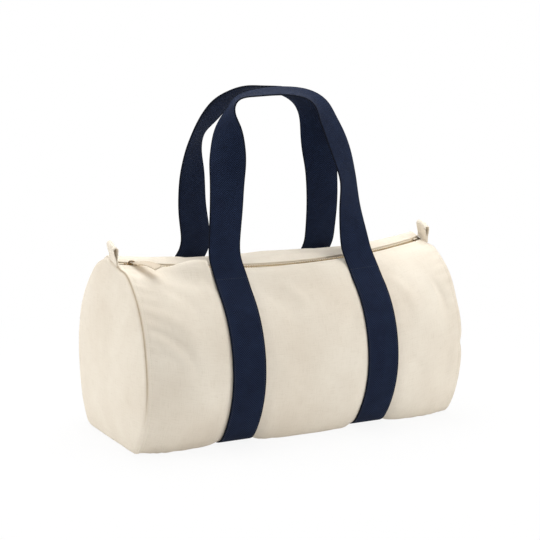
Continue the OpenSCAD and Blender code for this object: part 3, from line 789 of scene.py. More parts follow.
def make_end_panel(side, name, node):
    """A cushion of cloth inside the end seam. side is -1 for the left end."""
    rim = barrel[0 if side < 0 else -1]
    rim = np.vstack([rim, [rim[-1] + (rim[0] - rim[-1]) * t for t in BRIDGE_SHARES]])
    middle = np.array([side * HALF_LEN, 0.0, (END_CREST - KEEL_DEPTH) / 2])
    radius = np.linalg.norm(rim - middle, axis=1)
    points, uvs, seam_shade = [], [], []
    for share in 1 - np.linspace(0, 1, DOME_RINGS)[:-1] ** RING_POWER:
        ring = middle + (rim - middle) * share
        inward = (1 - share) * radius
        out = END_DOME * (1 - min(share / DOME_EDGE, 1) ** DOME_POWER) + SEAM_LIFT * smooth(inward / SEAM_TURN)
        folds = stroke_height(ring[:, 1], ring[:, 2], END_STROKES[side])
        folds += sum(height * cloth_noise(ring, scale, seed + side) for height, scale, seed in END_LUMPS)
        ripple = cloth_noise(ring, RIM_PUCKER_SCALE, RIM_PUCKER_SEED + side)
        pucker = RIM_PUCKER * hump(inward, RIM_PUCKER_AT, RIM_PUCKER_W) * ripple
        ring[:, 0] = side * (HALF_LEN + out + folds * smooth(inward / END_FOLD_FADE) + pucker)
        points.extend(ring)
        uvs.extend(ring[:, 1:])
        # Painted shade in the seam's valley, fading in from the rim.
        seam_shade.extend(seam_shade_share(ring, inward))
    cols, tip = len(rim), len(points)
    points.append((side * (HALF_LEN + END_DOME + SEAM_LIFT), 0, middle[2]))
    uvs.append((0, middle[2]))
    last = tip - cols
    faces = grid_faces(DOME_RINGS - 1, cols, closed=True)
    faces += [(last + c, last + (c + 1) % cols, tip) for c in range(cols)]
    if side < 0:
        faces = [f[::-1] for f in faces]
    obj = mesh_object(name, points, faces, uvs, canvas, seam_shade=seam_shade + [0])
    add_wall(obj, CANVAS_T)
    return dress(apply_modifiers(obj), "bag", "canvas", node)


end_left = make_end_panel(-1, "canvas_end_left", "end_panel_left")
end_right = make_end_panel(1, "canvas_end_right", "end_panel_right")
print("end panels", faces_of(end_left, end_right), "faces")

# %% [markdown]
# Inside the bag, the raw edges of each end seam are bound in a folded tape. It runs once round the end, just inside
# the canvas. A curve with a bevel would twist at the zip, so its section is set on the points of the ring instead.

# %% Seam bindings
SEAT_GAP = 0.0004
BINDING_DEPTH, BINDING_T = 0.009, 0.0024
BINDING_SWELL, BINDING_TURN, BINDING_FLOOR = 0.06, 0.9, 0.0022
# Depth and thickness of the folded tape's section, as shares.
BINDING_HALF = [(0, -1), (0.35, -1.06), (0.78, -0.96), (0.94, -0.62)]
BINDING_SECTION = BINDING_HALF + [(1, 0)] + [(depth, -thick) for depth, thick in BINDING_HALF[::-1]]


def line_round(x):
    """Points and outward normals once round the canvas at x, from lip to lip."""
    k = np.interp(x, places, np.arange(COLUMNS))
    i = min(int(k), COLUMNS - 2)
    return [grid[i] * (1 - k + i) + grid[i + 1] * (k - i) for grid in (barrel, barrel_normals)]


def make_binding(side, name, node):
    """A tape folded over the seam's edges, with its fold toward the inside of the bag."""
    middle = side * (HALF_LEN - SEAT_GAP - BINDING_T / 2)
    ring, normals = line_round(middle)
    points, uvs = [], []
    for j, (p, n) in enumerate(zip(ring, normals)):
        swell = 1 + BINDING_SWELL * math.sin(BINDING_TURN * j)
        for share, thick in BINDING_SECTION:
            deep = p - n * (CANVAS_T + 2 * SEAT_GAP + share * BINDING_DEPTH)
            points.append((middle + thick * swell * BINDING_T / 2, deep[1], max(deep[2], BINDING_FLOOR)))
            uvs.append((share * BINDING_DEPTH, barrel_around[0, j]))
    faces = grid_faces(len(ring), len(BINDING_SECTION), closed=True, caps=True)
    obj = mesh_object(name, points, faces, uvs, zip_cloth)
    fix_normals(obj)
    return dress(obj, "bag", "binding", node)


bindings = [make_binding(-1, "seam_tape_left", "seam_binding_left"),
            make_binding(1, "seam_tape_right", "seam_binding_right")]
print("bindings", faces_of(*bindings), "faces")

# %% [markdown]
# ## The straps
# One strap of webbing makes each handle and the bands on its side: it comes up the bag, leaves the cloth, twists so
# that it lies flat in the hand at the top, and goes down again. The strap is a sweep: a flat section with
# round edges is carried along a route, with its own turn at each place. A remesh or a cloth simulation would blur its
# edges. The table gives the free part in shares of the handle's height and lean, and the barrel gives the rest.

# %% Strap routes
HINGE_Y = 0.0565
HINGE_Z = {-1: 0.235138, 1: 0.231572}
HANDLE_TOP = 0.478
HANDLE_LEAN = 0.030
HANDLE_TILT = 0.16
# Each row: place along the bag, lean and height as shares, and the strap's turn in degrees.
ROUTES = {
    -1: [
        (-1, 0, 0, 0), (-1, 0.165, 0.13, 5), (-0.945, 0.377, 0.33, 0), (-0.907, 0.563, 0.51, -10),
        (-0.875, 0.748, 0.64, -42), (-0.854, 0.895, 0.769, -70), (-0.825, 0.965, 0.875, -108),
        (-0.705, 0.985, 0.935, -127), (-0.42, 0.997, 0.967, -126), (-0.012, 1.004, 0.977, -122),
        (0.32, 1.01, 0.952, -127), (0.541, 0.99, 0.886, -143), (0.666, 0.955, 0.795, -148),
        (0.76, 0.86, 0.705, -153), (0.845, 0.739, 0.6, -152), (0.915, 0.559, 0.457, -147),
        (0.915, 0.341, 0.289, -158), (0.95, 0.145, 0.126, -173), (1, 0, 0, -180),
    ],
    1: [
        (-0.965, 0, 0, 3), (-0.93, 0.146, 0.126, 10), (-1.011, 0.357, 0.31, 14), (-1.043, 0.557, 0.49, 21),
        (-1.051, 0.722, 0.631, 38), (-0.989, 0.858, 0.743, 46), (-0.862, 0.951, 0.825, 36),
        (-0.665, 0.992, 0.9, 32), (-0.332, 1, 0.967, 45), (0.015, 1, 0.983, 80),
        (0.341, 0.998, 0.96, 98), (0.6, 0.995, 0.905, 106), (0.735, 0.95, 0.815, 114),
        (0.81, 0.86, 0.71, 133), (0.87, 0.721, 0.62, 156), (0.94, 0.558, 0.5, 171),
        (1, 0.342, 0.31, 174), (1.01, 0.145, 0.125, 179), (1, 0, 0, 180),
    ],
}
print("route rows", len(ROUTES[-1]), "and", len(ROUTES[1]))

# %% [markdown]
# A smooth curve through the table's rows makes the free part. Below it, each band follows the ring of canvas that it is
# sewn to. The whole route is then cut into even steps and softened, because a sweep kinks where its points crowd.

# %% From table to route
ROUTE_STEPS = 4
END_ROWS = 2
WEBBING_T = 0.0022
SEWN_GAP = 0.0006
STRAP_LIFT = WEBBING_T / 2 + SEWN_GAP
LEAVES_BEFORE = 0.014
KEEL_TOP = 0.03


def curve(table, steps):
    """Points of a smooth curve through the rows of a table."""
    rows = np.array(table, float)
    rows = np.vstack([2 * rows[0] - rows[1], rows, 2 * rows[-1] - rows[-2]])
    found = []
    for i in range(1, len(rows) - 2):
        a, b, c, d = rows[i - 1:i + 3]
        for k in range(steps):
            t = k / steps
            found.append(0.5 * (2 * b + (c - a) * t + (2 * a - 5 * b + 4 * c - d) * t ** 2
                                + (3 * b - a - 3 * c + d) * t ** 3))
    return np.array(found + [rows[-2]])


def band_path(x, side):
    """Centres of a band, from under the bag up to where the handle leaves it."""
    i = int(np.argmin(np.abs(places - x)))
    ring = barrel[i]
    lowest = int(np.argmin(np.where(ring[:, 2] < KEEL_TOP, np.abs(ring[:, 1]), np.inf)))
    centres = []
    for j in range(lowest, -1, -1) if side < 0 else range(lowest, len(ring)):
        _, y, z = ring[j]
        if z > RIDGE_Z and abs(y) < HINGE_Y + LEAVES_BEFORE:
            break
        _, out_y, out_z = barrel_normals[i, j] * STRAP_LIFT
        centres.append((x, y + out_y, max(z + out_z, WEBBING_T / 2)))
    return np.array(centres)


def strap_route(side):
    """Centres and turns of one whole strap, from under the left band to under the right one."""
    rows = curve(ROUTES[side], ROUTE_STEPS)
    height = HANDLE_TOP - HINGE_Z[side]
    free = np.column_stack((rows[:, 0] * BAND_X, side * (HINGE_Y - rows[:, 1] * HANDLE_LEAN),
                            HINGE_Z[side] + rows[:, 2] * height))[END_ROWS:-END_ROWS]
    left, right = band_path(-BAND_X, side), band_path(BAND_X, side)
    turns = rows[:, 3]
    turn = np.concatenate([np.zeros(len(left)), turns[END_ROWS:-END_ROWS], np.full(len(right), turns[-1])])
    return np.vstack([left, free, right[::-1]]), turn


def even_route(route, turn, step, rounds):
    """The route again with points a step apart, softened where it bends sharply."""
    for _ in range(2):
        length = walked(route)
        at = np.linspace(0, length[-1], int(length[-1] / step))
        route = np.column_stack([np.interp(at, length, route[:, k]) for k in range(3)])
        turn = np.interp(at, length, turn)
        for _ in range(rounds):
            for line in (route, turn):
                line[1:-1] += 0.5 * ((line[:-2] + line[2:]) / 2 - line[1:-1])
    return route, turn


print("the left front band is", round(float(walked(band_path(-BAND_X, -1))[-1]), 3), "m long")

# %% [markdown]
# The sweep needs, at each place, the way along, the way across and the way out. The turn table gives the way across.
# What remains is made square to the way along, so the strap never gets thinner or wider than it is.

# %% Sweep a strap
STRAP_STEP, STRAP_ROUNDS = 0.003, 3
ACROSS = np.array([-1, -0.985, -0.94, -0.6, -0.2, 0.2, 0.6, 0.94, 0.985, 1])
BULGE = np.array([0.35, 0.8, 1, 1, 1, 1, 1, 1, 0.8, 0.35])
SECTION = list(zip(ACROSS, BULGE)) + list(zip(ACROSS[::-1], -BULGE[::-1]))
TURNS_FROM, TURNS_TO = -0.004, 0.008


def sweep_strap(name, route, across, width, thickness, material):
    """Carries a flat section with round edges along a route."""
    along = np.gradient(route, axis=0)
    along /= np.linalg.norm(along, axis=1, keepdims=True)
    across = across - along * np.sum(across * along, axis=1, keepdims=True)
    across /= np.linalg.norm(across, axis=1, keepdims=True)
    out = np.cross(across, along)
    length = walked(route)
    width = np.broadcast_to(width, len(route))
    points, uvs = [], []
    for i, centre in enumerate(route):
        for a, b in SECTION:
            points.append(centre + across[i] * a * width[i] / 2 + out[i] * b * thickness / 2)
            uvs.append((a * width[i] / 2 + width[i], length[i]))
    obj = mesh_object(name, points, grid_faces(len(route), len(SECTION), closed=True, caps=True), uvs, material)
    fix_normals(obj)
    return obj, across, out


def make_strap(name, side):
    """One whole strap, with its route, its ways across and out, and the span where band turns to handle."""
    route, turn = even_route(*strap_route(side), STRAP_STEP, STRAP_ROUNDS)
    angle = np.radians(turn)
    lay = np.column_stack((np.cos(angle), np.sin(angle), -HANDLE_TILT * np.abs(np.sin(angle))))
    obj, across, out = sweep_strap(name, route, lay, WEBBING_W, WEBBING_T, webbing)
    low, high = ((0, side * HINGE_Y, HINGE_Z[side] + rise) for rise in (TURNS_FROM, TURNS_TO))
    return obj, (route, across, out), low, high


strap_front, front_lines, front_low, front_high = make_strap("webbing_strap_front", -1)
strap_back, back_lines, back_low, back_high = make_strap("webbing_strap_back", 1)
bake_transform(strap_front)
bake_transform(strap_back)
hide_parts("handle_front", "band_left", "band_right")
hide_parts("handle_back")
print("front strap", round(float(walked(front_lines[0])[-1]), 3), "m long")

# %% [markdown]
# ## The zip
# Two tapes carry the teeth, under the folded lips. The whole zip lies in one sloping plane and follows one arc, so it
# is made flat, round the far centre of that arc, and then set into place by one frame.

# %% Frame of the zip and its tapes
TAPE_INSET = 0.0032
TAPE_END = HALF_LEN - TAPE_INSET
TAPE_STEPS = 120
TAPE_INNER = 0.0016
# Distance from the tape's inner edge, and height: a thick cord runs along the toothed edge.
TAPE_SECTION = [(0, 0), (0.0004, 0.0004), (0.0010, 0.0004), (0.0016, 0), (0.006, 0), (TAPE_W, 0)]
zip_frame = placed(Matrix.Translation((ZIP_MID_X, -ZIP_FRONT_Y, ZIP_MID_Z)), ("X", ZIP_TILT))


def on_arc(angle, radius=ZIP_R, height=0):
    """A point above the zip's plane, on an arc round its far centre."""
    return Vector((radius * math.sin(angle), ZIP_R - radius * math.cos(angle), height))


def zip_angle(x):
    """Angle of the arc's point at x."""
    return math.asin((x - ZIP_MID_X) / ZIP_R)


def make_tape(name, side, node):
    """One tape: a thin curved strip beside the teeth. side is -1 for the front one."""
    points, uvs = [], []
    for a in np.linspace(zip_angle(-TAPE_END), zip_angle(TAPE_END), TAPE_STEPS):
        for offset, height in TAPE_SECTION:
            points.append(zip_frame @ on_arc(a, ZIP_R - side * (TAPE_INNER + offset), height))
            uvs.append((a * ZIP_R, TAPE_INNER + offset))
    faces = grid_faces(TAPE_STEPS, len(TAPE_SECTION))
    if side < 0:
        faces = [f[::-1] for f in faces]
    obj = mesh_object(name, points, faces, uvs, zip_cloth)
    add_wall(obj, TAPE_T, 0)
    return dress(apply_modifiers(obj), "bag", "zip_tape", node)


tapes = [make_tape("zip_tape_front_side", -1, "zip_tape_front"),
         make_tape("zip_tape_back_side", 1, "zip_tape_back")]
print("tapes", faces_of(*tapes), "faces")

# %% [markdown]
# Teeth and stitches repeat along a line, which is a job for Geometry Nodes: a line is cut into equal steps, one piece
# is set on each point and turned to the line, and the copies are made real. An Array modifier could follow a
# curve too, but it bends each copy. The tree takes the piece, the count or the step, and the material.

# %% Rows by Geometry Nodes


def row_tree(name, mode):
    """Sets a piece on each step of a line. X goes along the line, Z along the line's own way out."""
    tree = bpy.data.node_groups.new(name, "GeometryNodeTree")
    for label, kind in (("Geometry", "Geometry"), ("Piece", "Object"), ("Count", "Int"), ("Step", "Float"),
                        ("Material", "Material")):
        tree.interface.new_socket(name=label, in_out="INPUT", socket_type="NodeSocket" + kind)
    tree.interface.new_socket(name="Geometry", in_out="OUTPUT", socket_type="NodeSocketGeometry")
    given = tree.nodes.new("NodeGroupInput").outputs
    line = add(tree, "GeometryNodeMeshToCurve", {"Mesh": given["Geometry"]}).outputs["Curve"]
    size = {"Count": given["Count"]} if mode == "COUNT" else {"Length": given["Step"]}
    steps = add(tree, "GeometryNodeResampleCurve", {"Curve": line, **size}, mode=mode).outputs["Curve"]
    tangent = add(tree, "GeometryNodeInputTangent").outputs["Tangent"]
    out = add(tree, "GeometryNodeInputNamedAttribute", {"Name": "out"}, data_type="FLOAT_VECTOR").outputs["Attribute"]
    along = add(tree, "FunctionNodeAlignRotationToVector", {"Vector": tangent}, axis="X").outputs["Rotation"]
    turned = add(tree, "FunctionNodeAlignRotationToVector", {"Rotation": along, "Vector": out}, axis="Z",
                 pivot_axis="X").outputs["Rotation"]
    piece = add(tree, "GeometryNodeObjectInfo", {"Object": given["Piece"]}).outputs["Geometry"]
    copies = add(tree, "GeometryNodeInstanceOnPoints", {"Points": steps, "Instance": piece, "Rotation": turned})
    real = add(tree, "GeometryNodeRealizeInstances", {"Geometry": copies.outputs["Instances"]}).outputs["Geometry"]
    painted = add(tree, "GeometryNodeSetMaterial", {"Geometry": real, "Material": given["Material"]})
    add(tree, "NodeGroupOutput", {"Geometry": painted.outputs["Geometry"]})
    return tree


teeth_tree = row_tree("teeth_on_line", "COUNT")
stitch_tree = row_tree("stitches_on_line", "LENGTH")
print("trees of", len(teeth_tree.nodes), "nodes")

# %% Run a tree on lines


def path_object(lines):
    """Bare lines of edges for a tree to work on. Each line is points and, for each, its way out of the cloth."""
    points, outs, edges = [], [], []
    for line, out in lines:
        edges += [(len(points) + i, len(points) + i + 1) for i in range(len(line) - 1)]
        points += [tuple(p) for p in line]
        outs += [tuple(n) for n in out]
    mesh = bpy.data.meshes.new("path")
    mesh.from_pydata(points, edges, [])
    values = np.array(outs, np.float32).ravel()
    mesh.attributes.new("out", "FLOAT_VECTOR", "POINT").data.foreach_set("vector", values)
    return new_object("path", mesh)


def grow(name, lines, tree, values):
    """Runs a tree on lines and returns the result as a plain mesh object."""
    source = path_object(lines)
    modifier = source.modifiers.new("grow", "NODES")
    modifier.node_group = tree
    for item in tree.interface.items_tree:
        if item.item_type == "SOCKET" and item.in_out == "INPUT" and item.name in values:
            modifier[item.identifier] = values[item.name]
    mesh = evaluated_mesh(source)
    mesh.name = name
    bpy.data.objects.remove(source)
    return new_object(name, mesh)


print("a tree takes", [item.name for item in teeth_tree.interface.items_tree if item.in_out == "INPUT"])

# %% [markdown]
# A metal tooth clamps the tape's cord with its body and reaches past the middle line with its head, so that the two
# rows interlock, half a pitch apart. There are hundreds, so each is one small prism with a single bevel. The stops
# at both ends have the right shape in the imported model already, and only get their metal.

# %% One tooth
TOOTH_PITCH, TOOTH_T, TOOTH_H = 0.0038, 0.0011, 0.0024
TOOTH_REACH, HEAD_REACH = 0.0034, 0.0010
TOOTH_PROFILE = [(-HEAD_REACH, 0.32 * TOOTH_H), (-0.4 * HEAD_REACH, TOOTH_H / 2), (0.8 * TOOTH_REACH, TOOTH_H / 2),
                 (TOOTH_REACH, 0.3 * TOOTH_H)]
TOOTH_BEVEL = 0.00018


def prism(outline, low, high, axis="Z"):
    """Points and faces of a prism: an outline of two coordinates, drawn out along the axis."""
    points = [{"X": (c, a, b), "Y": (a, c, b), "Z": (a, b, c)}[axis] for c in (low, high) for a, b in outline]
    return points, grid_faces(2, len(outline), closed=True, caps=True)


def make_tooth():
    """One metal tooth: a head that reaches past the middle line and a body that clamps the tape."""
    outline = TOOTH_PROFILE + [(y, -z) for y, z in TOOTH_PROFILE[::-1]]
    points, faces = prism(outline, -TOOTH_T / 2, TOOTH_T / 2, "X")
    obj = mesh_object("tooth", points, faces, None, bright_brass, smooth_shading=False)
    fix_normals(obj)
    add_bevel(obj, TOOTH_BEVEL, 1)
    return apply_modifiers(obj)


print("a tooth is", round((TOOTH_REACH + HEAD_REACH) * 1000, 1), "mm long")

# %% Rows of teeth, and the stops
STOP_LEN = 0.0026
CHAIN_END = TAPE_END - 2 * STOP_LEN - 2 * TOOTH_PITCH
TOOTH_STEP = TOOTH_PITCH / ZIP_R
FIRST_TOOTH = zip_angle(-CHAIN_END)
TOOTH_COUNT = int((zip_angle(CHAIN_END) - FIRST_TOOTH) / TOOTH_STEP)


def make_teeth(name, side, node):
    """A row of teeth on the arc. The back row is shifted by half a pitch, so the rows mesh."""
    shift = 0 if side < 0 else TOOTH_STEP / 2
    line = [on_arc(FIRST_TOOTH + shift + TOOTH_STEP * k) for k in range(TOOTH_COUNT)]
    tooth = make_tooth()
    if side < 0:
        tooth.data.transform(Matrix.Scale(-1, 4, Vector((0, 1, 0))))
        tooth.data.flip_normals()
    lines = [(line, [(0, 0, 1)] * TOOTH_COUNT)]
    row = grow(name, lines, teeth_tree, {"Piece": tooth, "Count": TOOTH_COUNT, "Material": bright_brass})
    bpy.data.objects.remove(tooth)
    row.data.transform(zip_frame)
    return dress(row, "bag", "antique_brass", node)


teeth = [make_teeth("zip_teeth_front_row", -1, "zip_teeth_front"),
         make_teeth("zip_teeth_back_row", 1, "zip_teeth_back")]
for node in ("zip_top_stops", "zip_bottom_stop"):
    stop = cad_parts[node].data
    stop.materials.clear()
    stop.materials.append(brass)
print("teeth", 2 * TOOTH_COUNT, "faces", faces_of(*teeth))

# %% [markdown]
# ## Slider and pull
# The slider is two cast plates round the chain with a raised crown. It could be one sculpted lump, but prisms of one
# outline keep the run of the teeth open between the plates. A bevel then rounds the edges, because cast
# metal has no sharp corner.

# %% Slider sizes and crown
SLIDER_INSET = 0.022
SLIDER_X = SLIDER_INSET - HALF_LEN
RUN_GAP = 0.00035
PLATE_LEN, PLATE_T, PLATE_CORNER = 0.013, 0.001, 0.0011
NOSE_W, TAIL_W = 0.0104, 0.0094
PLATE_HALF = [(-PLATE_LEN / 2, NOSE_W / 4), (-0.36 * PLATE_LEN, NOSE_W / 2), (-0.1 * PLATE_LEN, NOSE_W / 2),
              (PLATE_LEN / 2, TAIL_W / 2)]
PLATE_Z = TOOTH_H / 2 + RUN_GAP
FLANGE_T, FLANGE_Z = 0.0004, 0.00065
CROWN_LEN, CROWN_FOOT, CROWN_W, CROWN_T = 0.0094, 0.0013, 0.0022, 0.0013
CROWN_STEPS = 12
WINDOW_H = 0.0036
CAST_BEVEL = 0.0002
slider_frame = placed(zip_frame, (0, ZIP_R, 0), ("Z", zip_angle(SLIDER_X)), (0, -ZIP_R, 0))


def rounded(outline, radius, steps=4):
    """The outline with its corners rounded."""
    found = []
    count = len(outline)
    for i in range(count):
        before, corner, after = (Vector(outline[(i + k) % count]) for k in (-1, 0, 1))
        a = corner + (before - corner).normalized() * radius
        b = corner + (after - corner).normalized() * radius
        for k in range(steps + 1):
            t = k / steps
            found.append(tuple(a * (1 - t) ** 2 + corner * 2 * t * (1 - t) + b * t ** 2))
    return found


def crown():
    """The arch over the upper plate that holds the link, as points and faces."""
    top = PLATE_Z + PLATE_T
    angles = [math.pi * k / CROWN_STEPS for k in range(CROWN_STEPS + 1)]
    arch, window = (
        [(-math.cos(a) * length / 2, top + height * math.sin(a) ** 0.5) for a in angles]
        for length, height in ((CROWN_LEN, WINDOW_H + CROWN_T), (CROWN_LEN - 2 * CROWN_FOOT, WINDOW_H)))
    points, faces = prism(arch + window[::-1], -CROWN_W / 2, CROWN_W / 2, "Y")
    n = len(points) // 2
    faces = faces[:n]
    for k in range(CROWN_STEPS):
        quad = (k, k + 1, n - 2 - k, n - 1 - k)
        faces += [quad, tuple(n + v for v in reversed(quad))]
    return points, faces


print("crown", len(crown()[1]), "faces")

# %% Slider body


def make_slider():
    """Two plates with a blunt nose, cheeks and a narrower tail, flanges along both, and the crown."""
    outline = rounded([(x, -y) for x, y in PLATE_HALF] + PLATE_HALF[::-1], PLATE_CORNER)
    parts = [prism(outline, PLATE_Z, PLATE_Z + PLATE_T), prism(outline, -PLATE_Z - PLATE_T, -PLATE_Z)]
    gap = TOOTH_REACH + RUN_GAP
    for side in (-1, 1):
        wall = [(x, max(y, gap + FLANGE_T) * side) for x, y in PLATE_HALF]
        wall += [(PLATE_HALF[k][0], side * gap) for k in (-1, 0)]
        for low, high in ((FLANGE_Z, PLATE_Z + PLATE_T / 2), (-PLATE_Z - PLATE_T / 2, -FLANGE_Z)):
            parts.append(prism(wall, low, high))
    points, faces = [], []
    for part_points, part_faces in parts + [crown()]:
        faces += [tuple(len(points) + v for v in face) for face in part_faces]
        points += part_points
    obj = mesh_object("zip_slider_body", points, faces, None, brass)
    fix_normals(obj)
    add_bevel(obj, CAST_BEVEL, 2, 35)
    apply_modifiers(obj)
    obj.data.transform(slider_frame)
    return dress(obj, "zip_slider", "antique_brass", "zip_slider")


slider = make_slider()
print("slider", faces_of(slider), "faces")

# %% [markdown]
# The link is a closed loop of bent wire that hangs in the crown. A torus has no straight bars, so a round
# section is carried along a rounded rectangle.

# %% Pull link
WIRE_T, WIRE_SIDES = 0.0014, 12
LINK_TURN = math.radians(-50)
LINK_HALF_W, LINK_LEN, LINK_RISE = 0.0052, 0.0063, 0.0019
LINK_CORNER, LINK_BEND = 0.0009, 0.0016
LINK_Z = PLATE_Z + PLATE_T + RUN_GAP + WIRE_T * math.sqrt(2) / 2
link_frame = placed(slider_frame, (0, 0, LINK_Z), ("Z", LINK_TURN), ("Y", -math.asin(LINK_RISE / LINK_LEN)))


def make_link():
    """A closed loop of round wire with bent corners."""
    reach = LINK_HALF_W + LINK_CORNER
    corners = [(0, -reach), (LINK_LEN, -reach), (LINK_LEN, reach), (0, reach)]
    line = [Vector((x, y, 0)) for x, y in rounded(corners, LINK_BEND, 6)]
    up = Vector((0, 0, 1))
    points = []
    for i, p in enumerate(line):
        side = (line[(i + 1) % len(line)] - line[i - 1]).normalized().cross(up)
        for k in range(WIRE_SIDES):
            a = 2 * math.pi * k / WIRE_SIDES
            points.append(p + (side * math.cos(a) + up * math.sin(a)) * WIRE_T / 2)
    faces = grid_faces(len(line) + 1, WIRE_SIDES, closed=True)
    faces = [tuple(v % len(points) for v in face) for face in faces]
    obj = mesh_object("zip_link_wire", points, faces, None, brass)
    fix_normals(obj)
    obj.data.transform(link_frame)
    return dress(obj, "zip_pull_link", "antique_brass", "zip_pull_link")


link_wire = make_link()
print("link", faces_of(link_wire), "faces")

# %% [markdown]
# The strip is a band of canvas folded in three, so it has two turned edges and a row of stitches along each. It is
# gathered where it passes round the link's far bar. It is swept as the webbing is, with a slight twist and an arch,
# as limp cloth has, and a short loop closes round the bar.

# %% Pull strip
STRIP_W, STRIP_T, STRIP_LEN = 0.014, 0.0016, 0.043
STRIP_START, STRIP_POINTS = 0.0022, 26
STRIP_FLAT, STRIP_BEND_R = 0.0090, 0.230
STRIP_DROP = math.radians(0.5)
STRIP_ARCH, STRIP_ARCH_POWER = 0.0026, 0.7
STRIP_TWIST = 0.10
NECK_W, NECK_END, NECK_FADE = 0.0102, 0.004, 0.009
LOOP_T, LOOP_STEPS = 0.0009, 14
LOOP_FROM, LOOP_TURN = math.radians(35), math.radians(-290)
LOOP_FOOT, LOOP_FOOT_Z = 0.0032, 0.0004


def strip_centre(s):
    """Centre line of the strip in the link's frame at a distance s from the far bar."""
    a = max(s - STRIP_FLAT, 0) / STRIP_BEND_R
    x = min(s, STRIP_FLAT) + STRIP_BEND_R * math.sin(a)
    z = STRIP_ARCH * math.sin(math.pi * min(s / STRIP_LEN, 1)) ** STRIP_ARCH_POWER - STRIP_BEND_R * (1 - math.cos(a))
    c, sn = math.cos(STRIP_DROP), math.sin(STRIP_DROP)
    return Vector((LINK_LEN + x * c + z * sn, 0, z * c - x * sn))


def make_strip():
    """The strip, as one sweep along its line. Returns it with its line and its ways across and out."""
    at = np.linspace(STRIP_START, STRIP_LEN, STRIP_POINTS)
    line = np.array([strip_centre(s) for s in at])
    width = NECK_W + (STRIP_W - NECK_W) * smooth((at - NECK_END) / NECK_FADE)
    twist = np.sin(np.linspace(0, STRIP_TWIST, STRIP_POINTS))
    across = np.column_stack((twist * 0, twist * 0 + 1, twist))
    # The strip is the same canvas, darker as painted shade.
    obj, across, out = sweep_strap("canvas_pull_strip", line, across, width, STRIP_T, shaded_canvas)
    return obj, line, across, out


def make_strip_loop():
    """The part of the strip that goes round the link's bar."""
    radius = WIRE_T / 2 + LOOP_T
    turns = [LOOP_FROM + LOOP_TURN * k / LOOP_STEPS - STRIP_DROP for k in range(LOOP_STEPS + 1)]
    line = [strip_centre(0) + Vector((math.cos(a), 0, math.sin(a))) * radius for a in turns]
    foot, rise = strip_centre(LOOP_FOOT), Vector((0, 0, LOOP_FOOT_Z))
    line = np.array([foot + rise] + line + [foot - rise])
    across = np.array([[0.0, 1.0, 0.0]] * len(line))
    # The loop takes the same darker canvas: painted shade.
    return sweep_strap("canvas_strip_loop", line, across, NECK_W, LOOP_T, shaded_canvas)[0]


strip, strip_line, strip_across, strip_out = make_strip()
strip_loop = make_strip_loop()
for obj, nodes in ((strip, ["pull_strip"]), (strip_loop, [])):
    obj.data.transform(link_frame)
    dress(obj, "pull_strip", "canvas", *nodes)
print("pull strip", round(STRIP_LEN * 1000), "mm long")

# %% [markdown]
# ## Loop tabs
# A tab is a ribbon of folded canvas, bent into a loop and caught in the end seam. A bent plane would do from afar,
# but the loop is seen end on, so its teardrop outline is drawn first and carried across the tab's width. The
# stitches that close it just above the seam hold the loop's foot together.

# %% Tabs
TAB_W, TAB_H, TAB_D, TAB_WALL = 0.025, 0.026, 0.0080, 0.0013
TAB_Y = -0.009
TAB_Z = {-1: 0.24951, 1: 0.249714}
TAB_LEAN = math.radians(-12)
TAB_FOOT, TAB_BELOW, TAB_SPREAD = 0.0007, -0.002, 0.003
TAB_BEVEL, TAB_COLS = 0.0004, 9
TAB_SIDE_STEPS, TAB_TOP_STEPS, TAB_STEPS = 6, 8, 3
TAB_WAVE, TAB_WAVE_TURN, TAB_CURL, TAB_CURL_TURN, TAB_NARROW = 0.0008, 5, 0.0004, 6, 0.02


def tab_outline():
    """Middle line of the folded ribbon, from the foot up and down again."""
    r = TAB_D / 2 - TAB_WALL / 2
    top = TAB_H - TAB_D / 2
    line = [(-TAB_FOOT, TAB_BELOW), (-TAB_FOOT, TAB_SPREAD)]
    for k in range(1, TAB_SIDE_STEPS):
        t = k / TAB_SIDE_STEPS
        line.append((-TAB_FOOT - (r - TAB_FOOT) * float(smooth(t)), TAB_SPREAD + (top - TAB_SPREAD) * t))
    down = [(-x, z) for x, z in line[::-1]]
    angles = [math.pi * (1 - k / TAB_TOP_STEPS) for k in range(TAB_TOP_STEPS + 1)]
    return line + [(r * math.cos(a), top + r * math.sin(a)) for a in angles] + down


tab_line = curve([(x, 0, z) for x, z in tab_outline()], TAB_STEPS)


def tab_frame(side):
    """Where a tab stands: on the end seam, square to the zip, leaning a little to the left."""
    return placed(Matrix.Translation((side * HALF_LEN, TAB_Y, TAB_Z[side])), ("X", ZIP_TILT), ("Y", TAB_LEAN))


def make_tab(name, side, node):
    """One tab: the outline carried across its width, with a slight wave."""
    points, uvs = [], []
    length = walked(tab_line)
    for w in np.linspace(-TAB_W / 2, TAB_W / 2, TAB_COLS):
        lean = TAB_WAVE * math.sin(w / TAB_W * TAB_WAVE_TURN + side)
        curl = TAB_CURL * math.cos(w / TAB_W * TAB_CURL_TURN)
        for (x, _, z), v in zip(tab_line, length):
            rise = max(z, 0) / TAB_H
            points.append((x + lean * rise, w * (1 - TAB_NARROW * rise), z + curl * rise))
            uvs.append((w, v))
    obj = mesh_object(name, points, grid_faces(TAB_COLS, len(tab_line)), uvs, canvas)
    add_wall(obj, TAB_WALL, 0)
    add_bevel(obj, TAB_BEVEL, 2)
    apply_modifiers(obj)
    fix_normals(obj)
    obj.data.transform(tab_frame(side))
    return dress(obj, "bag", "canvas", node)


tabs = [make_tab("canvas_tab_left", -1, "tab_left"), make_tab("canvas_tab_right", 1, "tab_right")]
print("tabs", faces_of(*tabs), "faces")

# %% [markdown]
# ## Stitches
# A seam is a row of short threads that rise from the cloth and dip into it again. One stitch is modelled, and the
# same kind of tree that set the teeth now sets it at each step of every sewing line. The lines come from the grids
# that the cloth was made from, so they lie on it exactly.

